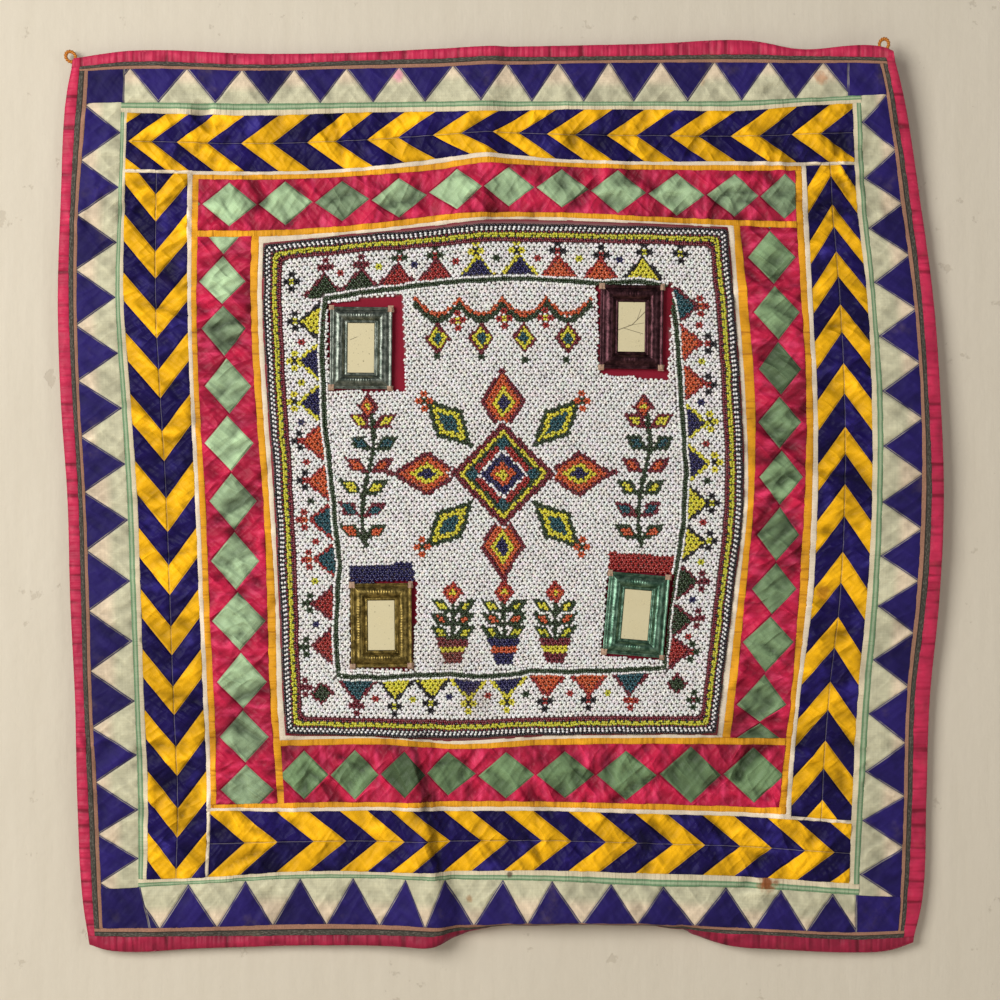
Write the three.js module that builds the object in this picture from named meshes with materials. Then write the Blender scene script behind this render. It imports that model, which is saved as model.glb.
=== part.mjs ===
// A square patchwork hanging with a netted bead panel in its middle, hung by two thread loops.
// Millimetres. X runs to the right, Z up, and the front faces -Y. The origin is on the top edge.

import * as THREE from 'three';

// Driving dimensions
const GAP = 0.3;
const CLOTH = 2;
const GROUND_CLOTH = 1.2;
const BEAD_LAYER = 2.4;
const CREAM_SHARE = 0.42;
const SIDE_STEP = 50;
const STATION_MARGIN = 7;
const PANEL_STEPS = 14;
const PANEL_INSET = 0.5;

// Every seam from the outside in. Each name is a column of the four side tables below.
const SEAMS = [
  'edge', 'binding', 'sawtooth', 'frame', 'chevronOut', 'chevronIn',
  'diamondOut', 'diamondIn', 'yellowIn', 'ground', 'beads',
];

// Where the seams lie. On the top and bottom, "at" is the distance right of the middle and the
// seams are drops below the origin. On the left and right, "at" is the drop and the seams are
// reaches from the middle.
const SIDES = {
  top: [
    // at, edge, binding, sawtooth, frame, chevronOut, chevronIn, diamondOut, diamondIn, yellowIn, ground, beads
    [-430, 12, 21, 25, 57, 65, 123, 132, 183, 190, 198, 199],
    [-370, 4, 15, 22, 56, 66, 123, 132, 183, 190, 198, 199],
    [-240, 7, 18, 24, 57, 69, 125, 133, 184, 190, 197, 198],
    [-150, 6, 14, 22, 56, 66, 122, 130, 179, 185, 188, 189],
    [-60, 2, 12, 20, 55, 65, 112, 123, 169, 175, 179, 182],
    [-15, 0.5, 10.5, 18.5, 55, 65, 107, 117, 166, 171, 174, 178],
    [60, -1, 10, 17, 55, 63, 112.5, 120, 166, 171, 174, 178],
    [150, -3, 9, 16, 55, 63, 115, 123, 170, 175, 177.5, 180],
    [250, -6, 8, 16, 54, 64, 115, 124, 174, 180, 182, 183.5],
    [300, 3, 10, 17, 52, 60, 116, 124, 175, 182, 184, 185.5],
    [380, 2, 13, 19, 50, 57, 116, 125, 176, 183, 185, 186.5],
    [397, 9, 14.5, 20.5, 49, 56, 117, 126, 177, 184, 186, 187.5],
  ],
  bottom: [
    [-412, 899, 890.5, 883, 843, 834, 766, 760, 702, 696, 688, 687],
    [-392, 905, 891, 883, 843, 834, 766, 760, 702, 696, 688, 687],
    [-300, 903, 891, 882, 838, 832, 765, 759, 702, 696, 688, 687],
    [-200, 900, 890, 879, 833, 826, 766, 757, 700, 694, 689.5, 688.5],
    [-100, 900, 889, 879, 832.5, 826, 764, 756, 698.5, 692.5, 691, 690.5],
    [-50, 901, 888, 879, 833, 825, 765, 755, 703, 698, 695, 692],
    [50, 897, 884.5, 876, 834, 824, 765, 756, 699, 693, 689.5, 689],
    [150, 899, 886, 877, 839, 827, 768, 758, 698, 692, 688.5, 688],
    [250, 902, 888, 882, 842, 831, 771, 761, 699, 692, 689, 688],
    [350, 907, 894, 887, 849, 838, 778, 763, 701, 694, 689, 688],
    [390, 905, 893, 886, 851, 840, 780, 765, 702, 695, 689, 688],
    [417, 896, 891, 884.5, 852, 841, 782, 766, 703, 696, 689, 688],
  ],
  left: [
    [10, 427, 420, 412, 377, 372, 313, 302, 248, 240, 236, 235],
    [54, 435, 424, 414, 379, 373, 313, 302, 248, 240, 236, 235],
    [154, 440, 430, 422, 382, 376, 313, 302, 248, 240, 236, 235],
    [254, 443, 432, 424, 385, 377, 313, 304, 250, 243, 238, 237],
    [354, 440, 428, 421, 379, 370, 310, 301, 245, 238, 233, 232],
    [454, 433, 422, 415, 373, 363, 305, 295, 237, 231, 226, 225],
    [554, 430, 419, 411, 369, 359, 301, 291, 233, 225, 221, 220],
    [654, 425, 416, 408, 365, 356, 297, 286, 230, 223, 217, 216],
    [754, 423, 412, 403, 362, 352, 293, 284, 223, 216, 209, 208],
    [854, 418, 408, 399, 362, 354, 296, 286, 223, 216, 208, 207],
    [900, 411, 405, 397, 362, 354, 296, 286, 223, 216, 208, 207],
  ],
  right: [
    [10, 392, 384, 377, 359, 351, 304, 295, 239, 233, 227, 226],
    [54, 403, 393, 386, 360, 352, 304, 295, 239, 233, 227, 226],
    [154, 420, 410, 401, 366, 357, 308, 296, 239, 233, 227, 226],
    [254, 433.5, 422, 414, 376, 368, 313, 302, 248, 239, 234.5, 234],
    [354, 440, 428, 420.5, 382.5, 372, 318, 307, 255.5, 246, 241.5, 241],
    [454, 443, 431, 421, 382, 372, 318, 305, 254, 248, 244, 243.5],
    [554, 439, 426, 416, 378, 367, 313, 299, 245, 238, 233, 232.5],
    [654, 430, 415, 407, 370, 358, 300, 291, 235, 227, 221, 220.5],
    [754, 427, 413, 404.5, 364, 353, 292, 280, 225, 217, 211, 210.5],
    [854, 423, 408, 401, 359, 349, 290, 278, 224, 216, 210, 209.5],
    [894, 414, 404, 398, 358, 348, 290, 278, 224, 216, 210, 209.5],
  ],
};

// Broad swells of the cloth off the wall: middle, half width, half height, rise.
const SWELLS = [
  { name: 'top right corner', x: 400, drop: 10, wide: 90, high: 120, rise: 13 },
  { name: 'right bow', x: 430, drop: 430, wide: 70, high: 190, rise: 9 },
  { name: 'bottom middle', x: 90, drop: 900, wide: 150, high: 90, rise: 17 },
  { name: 'bead weight', x: 0, drop: 560, wide: 230, high: 200, rise: 6 },
  { name: 'left lower side', x: -380, drop: 640, wide: 90, high: 170, rise: 5 },
];

// Soft creases that run down the cloth: where each crosses four drops, its rise, and how far its
// gentle left side and its steep right side reach.
const CREASES = [
  { name: 'top fold', drops: [-10, 60, 120, 170], at: [-8, -10, -14, -22], rise: 7, left: 36, right: 12, fade: 26 },
  { name: 'bottom tuck', drops: [694, 754, 824, 910], at: [-88, -76, -66, -58], rise: 13, left: 40, right: 11, fade: 14 },
];

// How far the bottom hem turns back to the wall, from 0, flat, to 1, fully turned.
const HEM_CURL = [
  // at, turned
  [-78, 0], [-66, 0.15], [-55, 0.35], [-42, 0.52], [-30, 0.67], [-15, 0.83], [0, 0.94], [40, 1],
  [140, 1], [160, 0.92], [175, 0.78], [188, 0.63], [200, 0.48], [213, 0.33], [230, 0.15], [250, 0],
];
const EDGING_TURN = 70;
const BINDING_TURN = 115;

// The framed pocket mirrors on the panel: middle, turn in degrees, size, and glass size.
const MIRRORS = [
  { name: 'upper_left', x: -139, drop: 302, turn: -0.5, width: 62, height: 82, color: 0x5d6b66 },
  { name: 'upper_right', x: 131.5, drop: 281, turn: -0.8, width: 63, height: 84, color: 0x4c2420 },
  { name: 'lower_left', x: -118.5, drop: 579, turn: 0.6, width: 61, height: 84, color: 0x77683a },
  { name: 'lower_right', x: 136, drop: 568.5, turn: -5, width: 61, height: 82, color: 0x56786a },
];
const GLASS = { width: 27, height: 50, thick: 1.6 };
// The frame's section from its outer foot to its inner foot: how far in, and how high.
const MOULDING = [
  { inward: 0, rise: 0 },
  { inward: 0, rise: 2.2 },
  { inward: 3, rise: 5.2 },
  { inward: 8, rise: 4 },
  { inward: 13, rise: 5 },
  { inward: 17, rise: 3 },
  { inward: 17, rise: 0 },
];

// The two thread loops at the top corners.
const LOOPS = [
  { name: 'left', x: -430.5, drop: 9.5, lean: 40, color: 0xc8701e },
  { name: 'right', x: 383, drop: -0.5, lean: -12, color: 0xb98a3a },
];
const LOOP_RADIUS = 4.6;
const THREAD_RADIUS = 1.1;

const rad = THREE.MathUtils.degToRad;
const mix = THREE.MathUtils.lerp;

// The value at a place between the rows of a table, along a smooth curve through them. Each
// row's slope is the mean of the slopes to its two neighbours, and past the ends it stays level.
function smooth(rows, column, at) {
  const last = rows.length - 1;
  if (at <= rows[0][0]) return rows[0][column];
  if (at >= rows[last][0]) return rows[last][column];
  let k = 0;
  while (rows[k + 1][0] < at) k += 1;
  const rise = (i) => (rows[i + 1][column] - rows[i][column]) / (rows[i + 1][0] - rows[i][0]);
  const slope = (i) => {
    if (i === 0) return rise(0);
    if (i === last) return rise(last - 1);
    return (rise(i - 1) + rise(i)) / 2;
  };
  const span = rows[k + 1][0] - rows[k][0];
  const t = (at - rows[k][0]) / span;
  const near = (1 + 2 * t) * (1 - t) ** 2 * rows[k][column] + t * (1 - t) ** 2 * span * slope(k);
  const far = t * t * (3 - 2 * t) * rows[k + 1][column] + t * t * (t - 1) * span * slope(k + 1);
  return near + far;
}

// Where a seam lies at a place along its side, as a signed x or z.
const OUTWARD = { top: -1, bottom: -1, left: -1, right: 1 };
function seam(side, name, at) {
  if (name === 'creamIn') {
    return mix(seam(side, 'chevronIn', at), seam(side, 'diamondOut', at), CREAM_SHARE);
  }
  return OUTWARD[side] * smooth(SIDES[side], 1 + SEAMS.indexOf(name), at);
}

// How far the cloth stands off the wall, from the swells and the creases.
function lift(x, z) {
  const drop = -z;
  let height = 6;
  for (const s of SWELLS) {
    height += s.rise * Math.exp(-(((x - s.x) / s.wide) ** 2) - ((drop - s.drop) / s.high) ** 2);
  }
  for (const c of CREASES) {
    const rows = c.drops.map((d, i) => [d, c.at[i]]);
    const side = x - smooth(rows, 1, drop);
    const reach = side < 0 ? c.left : c.right;
    const past = Math.max(c.drops[0] - drop, drop - c.drops[3], 0);
    height += c.rise * Math.exp(-((side / reach) ** 2)) * Math.exp(-((past / c.fade) ** 2));
  }
  return height;
}
const LIFT_AT_ORIGIN = lift(0, 0);
const depth = (x, z) => LIFT_AT_ORIGIN - lift(x, z) - CLOTH / 2;

// A point of the front face, and the step from it through the cloth to the back face.
function front(x, z, proud = 0) {
  return { point: new THREE.Vector3(x, depth(x, z) - proud, z), through: new THREE.Vector3(0, 1, 0) };
}

// The same below the sawtooth band, where the hem turns back: the edging turns first and the
// binding turns on, and each seam there is mitred.
function hem(x, name) {
  const curl = Math.max(smooth(HEM_CURL, 1, x), 0);
  const turns = { edging: rad(EDGING_TURN) * curl, binding: rad(BINDING_TURN) * curl };
  const z = seam('bottom', 'sawtooth', x);
  const start = front(x, z).point;
  const run = (turn, length) => new THREE.Vector3(0, Math.sin(turn), -Math.cos(turn)).multiplyScalar(length);
  const mitre = (from, to) => {
    const middle = (from + to) / 2;
    return new THREE.Vector3(0, Math.cos(middle), Math.sin(middle)).divideScalar(Math.cos((to - from) / 2));
  };
  if (name === 'sawtooth') return { point: start, through: mitre(0, turns.edging) };
  const seamPoint = start.add(run(turns.edging, z - seam('bottom', 'binding', x)));
  if (name === 'binding') return { point: seamPoint, through: mitre(turns.edging, turns.binding) };
  const width = seam('bottom', 'binding', x) - seam('bottom', 'edge', x);
  return { point: seamPoint.add(run(turns.binding, width)), through: mitre(turns.binding, turns.binding) };
}

// A closed sheet from a grid of front points, each with its step through to the back.
function sheetGeometry(rows, thick) {
  const across = rows.length;
  const along = rows[0].length;
  const positions = [];
  for (const back of [0, 1]) {
    for (const row of rows) {
      for (const { point, through } of row) {
        positions.push(...point.clone().addScaledVector(through, back * thick).toArray());
      }
    }
  }
  const at = (back, j, i) => (back * across + j) * along + i;
  const faces = [];
  const quad = (a, b, c, d) => faces.push(a, b, c, a, c, d);
  for (let j = 0; j < across - 1; j += 1) {
    for (let i = 0; i < along - 1; i += 1) {
      quad(at(0, j, i), at(0, j + 1, i), at(0, j + 1, i + 1), at(0, j, i + 1));
      quad(at(1, j, i), at(1, j, i + 1), at(1, j + 1, i + 1), at(1, j + 1, i));
    }
    quad(at(0, j, 0), at(1, j, 0), at(1, j + 1, 0), at(0, j + 1, 0));
    quad(at(0, j + 1, along - 1), at(1, j + 1, along - 1), at(1, j, along - 1), at(0, j, along - 1));
  }
  for (let i = 0; i < along - 1; i += 1) {
    quad(at(0, 0, i + 1), at(1, 0, i + 1), at(1, 0, i), at(0, 0, i));
    quad(at(0, across - 1, i + 1), at(0, across - 1, i), at(1, across - 1, i), at(1, across - 1, i + 1));
  }
  return closed(positions, faces);
}

// A mesh whose faces are turned round if they enclose a negative volume.
function closed(positions, faces) {
  const [a, b, c] = [new THREE.Vector3(), new THREE.Vector3(), new THREE.Vector3()];
  let volume = 0;
  for (let f = 0; f < faces.length; f += 3) {
    a.fromArray(positions, faces[f] * 3);
    b.fromArray(positions, faces[f + 1] * 3);
    c.fromArray(positions, faces[f + 2] * 3);
    volume += a.dot(b.cross(c));
  }
  const geometry = new THREE.BufferGeometry();
  geometry.setAttribute('position', new THREE.Float32BufferAttribute(positions, 3));
  geometry.setIndex(volume < 0 ? [...faces].reverse() : faces);
  geometry.computeVertexNormals();
  return geometry;
}

const hanging = new THREE.Group();

function add(name, geometry, color, roughness, metalness = 0) {
  const mesh = new THREE.Mesh(geometry, new THREE.MeshStandardMaterial({ color, roughness, metalness }));
  mesh.name = name;
  hanging.add(mesh);
}

// Places along a side where its sheets have a row of points: even steps, the creases and, in a
// hem, the places where its turn changes.
function stations(side, hemmed) {
  const rows = SIDES[side];
  const places = [];
  const steps = Math.round((rows.at(-1)[0] - rows[0][0]) / SIDE_STEP);
  for (let i = 0; i <= steps; i += 1) {
    places.push(mix(rows[0][0], rows.at(-1)[0], i / steps));
  }
  const crease = { top: CREASES[0], bottom: CREASES[1] }[side];
  if (!crease) return places;
  const middle = crease.at[1];
  const close = [-30, -14, 0, 9, 20].map((step) => middle + step);
  if (hemmed) close.push(...HEM_CURL.map(([at]) => at).filter((p) => p > close.at(-1) + 8));
  const free = places.filter((p) => close.every((q) => Math.abs(p - q) > 12));
  return [...free, ...close].sort((p, q) => p - q);
}

// One strip of a side between two of its seams. It ends on a seam of the side before it and on
// one of the side after it, which cross it.
function strip({ side, outer, inner, from, to, rows, thick }) {
  const level = side === 'top' || side === 'bottom';
  const [before, after] = level ? ['left', 'right'] : ['top', 'bottom'];
  const half = GAP / 2;
  const inset = Math.sign(seam(side, inner, 0) - seam(side, outer, 0)) * half;
  const line = (share, at) => mix(seam(side, outer, at) + inset, seam(side, inner, at) - inset, share);
  // A place where the strip's line meets a crossing seam, found by going to and fro between them
  const meet = (share, crossing, name, shift) => {
    let at = 0;
    for (let turn = 0; turn < 12; turn += 1) {
      const along = level ? -line(share, at) : line(share, at);
      at = (level ? 1 : -1) * seam(crossing, name, along);
    }
    return at + shift;
  };
  const shares = Array.from({ length: rows + 1 }, (_, j) => j / rows);
  const starts = shares.map((share) => meet(share, before, from, half));
  const ends = shares.map((share) => meet(share, after, to, -half));
  const hemmed = side === 'bottom' && (outer === 'edge' || outer === 'binding' || outer === 'sawtooth');
  const inside = stations(side, hemmed).filter(
    (p) => p > Math.max(...starts) + STATION_MARGIN && p < Math.min(...ends) - STATION_MARGIN,
  );
  return sheetGeometry(
    shares.map((share, j) =>
      [starts[j], ...inside, ends[j]].map((at) => {
        if (hemmed) return hemPoint(at, outer, inner, share);
        return level ? front(at, line(share, at)) : front(line(share, at), -at);
      }),
    ),
    thick,
  );
}

// A point of a strip by the bottom hem, between two seams that may be turned back.
function hemPoint(x, outer, inner, share) {
  const low = hem(x, outer);
  const high = inner === 'frame' ? front(x, seam('bottom', 'frame', x)) : hem(x, inner);
  const width = low.point.distanceTo(high.point);
  const inset = GAP / 2 / width;
  const t = mix(inset, 1 - inset, share);
  return {
    point: low.point.clone().lerp(high.point, t),
    through: low.through.clone().lerp(high.through, share),
  };
}

// The rings of strips from the outside in. For each side, the seams of its neighbours on which
// it ends: long strips run past short ones, as they were sewn on.
const RINGS = [
  {
    name: 'binding', outer: 'edge', inner: 'binding', rows: 1, thick: CLOTH, color: 0xc23058,
    ends: { top: ['edge', 'edge'], right: ['binding', 'binding'], bottom: ['edge', 'edge'], left: ['binding', 'binding'] },
  },
  {
    name: 'edging', outer: 'binding', inner: 'sawtooth', rows: 1, thick: CLOTH, color: 0x5a5140,
    ends: { top: ['binding', 'binding'], right: ['sawtooth', 'sawtooth'], bottom: ['binding', 'binding'], left: ['sawtooth', 'sawtooth'] },
  },
  {
    name: 'sawtooth', outer: 'sawtooth', inner: 'frame', rows: 2, thick: CLOTH, color: 0x6c6a8c,
    ends: { top: ['sawtooth', 'sawtooth'], right: ['frame', 'frame'], bottom: ['sawtooth', 'sawtooth'], left: ['frame', 'frame'] },
  },
  {
    name: 'frame', outer: 'frame', inner: 'chevronOut', rows: 1, thick: CLOTH, color: 0xbfcaa2,
    ends: { top: ['frame', 'frame'], right: ['chevronOut', 'chevronOut'], bottom: ['frame', 'frame'], left: ['chevronOut', 'chevronOut'] },
  },
  {
    name: 'chevron', outer: 'chevronOut', inner: 'chevronIn', rows: 2, thick: CLOTH, color: 0xe0a81c,
    ends: { top: ['chevronOut', 'chevronOut'], right: ['chevronIn', 'chevronIn'], bottom: ['chevronIn', 'chevronOut'], left: ['chevronIn', 'chevronOut'] },
  },
  {
    name: 'cream', outer: 'chevronIn', inner: 'creamIn', rows: 1, thick: CLOTH, color: 0xe8d8c0,
    ends: { top: ['chevronIn', 'chevronIn'], right: ['creamIn', 'creamIn'], bottom: ['chevronIn', 'chevronIn'], left: ['creamIn', 'creamIn'] },
  },
  {
    name: 'yellow_outer', outer: 'creamIn', inner: 'diamondOut', rows: 1, thick: CLOTH, color: 0xe8a020,
    ends: { top: ['creamIn', 'creamIn'], right: ['diamondOut', 'diamondOut'], bottom: ['creamIn', 'creamIn'], left: ['diamondOut', 'diamondOut'] },
  },
  {
    name: 'diamond', outer: 'diamondOut', inner: 'diamondIn', rows: 2, thick: CLOTH, color: 0xb82c50,
    ends: { top: ['diamondOut', 'diamondOut'], right: ['yellowIn', 'yellowIn'], bottom: ['yellowIn', 'diamondOut'], left: ['yellowIn', 'diamondOut'] },
  },
  {
    name: 'yellow_inner', outer: 'diamondIn', inner: 'yellowIn', rows: 1, thick: CLOTH, color: 0xe8a020,
    ends: { top: ['diamondOut', 'diamondOut'], right: ['yellowIn', 'yellowIn'], bottom: ['yellowIn', 'diamondOut'], left: ['yellowIn', 'diamondOut'] },
  },
  {
    name: 'cream_inner', outer: 'yellowIn', inner: 'ground', rows: 1, thick: CLOTH, color: 0xe8d8c0,
    ends: { top: ['yellowIn', 'yellowIn'], right: ['ground', 'ground'], bottom: ['yellowIn', 'yellowIn'], left: ['ground', 'ground'] },
  },
];
for (const ring of RINGS) {
  for (const [side, [from, to]] of Object.entries(ring.ends)) {
    const { outer, inner, rows, thick } = ring;
    add(`${ring.name}_${side}`, strip({ side, outer, inner, from, to, rows, thick }), ring.color, 0.6);
  }
}

// A four-sided sheet inside one seam of all four sides, its rows and columns leaning with them.
function inside(name, proud, thick) {
  const shares = Array.from({ length: PANEL_STEPS + 1 }, (_, i) => i / PANEL_STEPS);
  return sheetGeometry(
    shares.map((v) =>
      shares.map((u) => {
        let x = 0;
        let z = -450;
        for (let turn = 0; turn < 12; turn += 1) {
          x = mix(seam('left', name, -z) + PANEL_INSET, seam('right', name, -z) - PANEL_INSET, u);
          z = mix(seam('top', name, x) - PANEL_INSET, seam('bottom', name, x) + PANEL_INSET, v);
        }
        return front(x, z, proud);
      }),
    ),
    thick,
  );
}
const BEADS_PROUD = BEAD_LAYER - GAP;
add('ground_cloth', inside('ground', -GAP, GROUND_CLOTH), 0x6a1a30, 0.8);
add('bead_panel', inside('beads', BEADS_PROUD, BEAD_LAYER - GAP), 0xe5e0d8, 0.35);

// The plane that a mirror lies on: it leans with the panel and clears its highest point.
function seat({ x, drop, width, height }) {
  const z = -drop;
  const step = 20;
  const leanX = (depth(x + step, z) - depth(x - step, z)) / (2 * step);
  const leanZ = (depth(x, z + step) - depth(x, z - step)) / (2 * step);
  const plane = (px, pz) => depth(x, z) + leanX * (px - x) + leanZ * (pz - z);
  let clear = 0;
  for (let i = -4; i <= 4; i += 1) {
    for (let j = -4; j <= 4; j += 1) {
      const [px, pz] = [x + (i * width) / 8, z + (j * height) / 8];
      clear = Math.max(clear, plane(px, pz) - depth(px, pz));
    }
  }
  return (px, pz, rise) => plane(px, pz) - clear - BEADS_PROUD - GAP - rise;
}

// A ring of four-cornered loops, one for each point of the moulding, closed on itself.
function mirrorFrame(mirror) {
  const onSeat = seat(mirror);
  const last = MOULDING.at(-1).inward;
  const positions = MOULDING.flatMap(({ inward, rise }) => {
    const narrow = (mirror.width - GLASS.width) / 2 / last;
    const low = (mirror.height - GLASS.height) / 2 / last;
    const halfWidth = mirror.width / 2 - inward * narrow;
    const halfHeight = mirror.height / 2 - inward * low;
    return corners(mirror, halfWidth, halfHeight).flatMap(([x, z]) => [x, onSeat(x, z, rise), z]);
  });
  const faces = [];
  MOULDING.forEach((_, k) => {
    const next = (k + 1) % MOULDING.length;
    for (let i = 0; i < 4; i += 1) {
      const j = (i + 1) % 4;
      faces.push(k * 4 + i, k * 4 + j, next * 4 + j, k * 4 + i, next * 4 + j, next * 4 + i);
    }
  });
  return closed(positions, faces);
}

function corners({ x, drop, turn }, halfWidth, halfHeight) {
  const [cos, sin] = [Math.cos(rad(turn)), Math.sin(rad(turn))];
  return [[-1, -1], [1, -1], [1, 1], [-1, 1]].map(([i, j]) => {
    const [u, v] = [i * halfWidth, j * halfHeight];
    return [x + u * cos - v * sin, -drop + u * sin + v * cos];
  });
}

function mirrorGlass(mirror) {
  const onSeat = seat(mirror);
  const at = corners(mirror, GLASS.width / 2 - GAP, GLASS.height / 2 - GAP);
  const point = ([x, z]) => ({
    point: new THREE.Vector3(x, onSeat(x, z, GLASS.thick), z),
    through: new THREE.Vector3(0, 1, 0),
  });
  return sheetGeometry([[point(at[0]), point(at[1])], [point(at[3]), point(at[2])]], GLASS.thick);
}

for (const mirror of MIRRORS) {
  add(`mirror_frame_${mirror.name}`, mirrorFrame(mirror), mirror.color, 0.4, 0.8);
  add(`mirror_glass_${mirror.name}`, mirrorGlass(mirror), 0xd8cfa8, 0.05, 1);
}

// A ring of thread sewn behind the binding, flat against it and a little taller than wide.
function threadLoop({ x, drop, lean }) {
  const level = depth(x, -drop) + CLOTH + GAP + THREAD_RADIUS;
  const around = 14;
  const sides = 6;
  const positions = [];
  for (let i = 0; i < around; i += 1) {
    const turn = (i / around) * 2 * Math.PI;
    for (let j = 0; j < sides; j += 1) {
      const tilt = (j / sides) * 2 * Math.PI;
      const radius = LOOP_RADIUS + THREAD_RADIUS * Math.cos(tilt);
      const [u, v] = [radius * Math.cos(turn), 1.2 * radius * Math.sin(turn)];
      const [cos, sin] = [Math.cos(rad(lean)), Math.sin(rad(lean))];
      const px = x + u * cos - v * sin;
      const pz = -drop + u * sin + v * cos;
      positions.push(px, level + THREAD_RADIUS * Math.sin(tilt), pz);
    }
  }
  const faces = [];
  for (let i = 0; i < around; i += 1) {
    for (let j = 0; j < sides; j += 1) {
      const [ni, nj] = [(i + 1) % around, (j + 1) % sides];
      faces.push(i * sides + j, ni * sides + j, ni * sides + nj);
      faces.push(i * sides + j, ni * sides + nj, i * sides + nj);
    }
  }
  return closed(positions, faces);
}
for (const loop of LOOPS) {
  add(`hanging_loop_${loop.name}`, threadLoop(loop), loop.color, 0.8);
}

export default hanging;
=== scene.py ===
"""A square patchwork hanging with a netted bead panel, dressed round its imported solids.

Lengths are in millimetres up to the last step, which puts them into meshes in metres.
X runs to the right, Z up, and the front faces -Y. The strips, folds and mirrors follow the same
tables as the solids.
"""
import math

import bpy
import numpy as np
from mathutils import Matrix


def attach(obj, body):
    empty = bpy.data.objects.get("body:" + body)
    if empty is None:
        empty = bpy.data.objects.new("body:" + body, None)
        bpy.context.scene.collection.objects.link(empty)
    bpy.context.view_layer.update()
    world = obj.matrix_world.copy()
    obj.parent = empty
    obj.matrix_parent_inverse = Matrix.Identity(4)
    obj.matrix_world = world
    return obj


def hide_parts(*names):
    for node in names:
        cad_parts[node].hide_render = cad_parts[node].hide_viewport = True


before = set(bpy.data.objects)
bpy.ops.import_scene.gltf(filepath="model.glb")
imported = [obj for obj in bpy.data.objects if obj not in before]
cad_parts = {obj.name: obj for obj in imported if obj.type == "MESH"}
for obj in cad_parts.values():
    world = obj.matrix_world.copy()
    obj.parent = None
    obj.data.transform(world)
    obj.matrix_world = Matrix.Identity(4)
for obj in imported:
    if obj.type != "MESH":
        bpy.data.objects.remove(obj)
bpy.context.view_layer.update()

MM = 0.001
# How thick the solids' cloth is and the sheets here are, and the gap between layers
CLOTH = 2
SHEET = 1.2
GAP = 0.3
# How far the beads stand off the cloth's face
BEADS_PROUD = 2.1
# Where the cream strip ends between its outer seam and the diamond band's
CREAM_SHARE = 0.42
# How far the bead panel stops short of its seams
PANEL_INSET = 0.5
# How often a place that depends on itself is worked out again
ROUNDS = 12
# How far apart the points of a cloth's grid lie, and how wide its outermost cells are
STEP = 3.2
RIM_STEP = 0.7
# How far a strip passes under its neighbour's edge
UNDERLAP = 0.15
# The photograph's pixel at the origin: one pixel is one millimetre
ORIGIN_RIGHT = 500
ORIGIN_DOWN = 46

# The camera comes first, level with the middle of the photograph
camera_data = bpy.data.cameras.new("camera")
camera_data.lens = 85
camera_data.sensor_width = 36
camera = bpy.data.objects.new("camera", camera_data)
camera.location = (0, -2.361, -0.454)
camera.rotation_euler = (math.radians(90), 0, 0)
bpy.context.scene.collection.objects.link(camera)
bpy.context.scene.camera = camera

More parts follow.
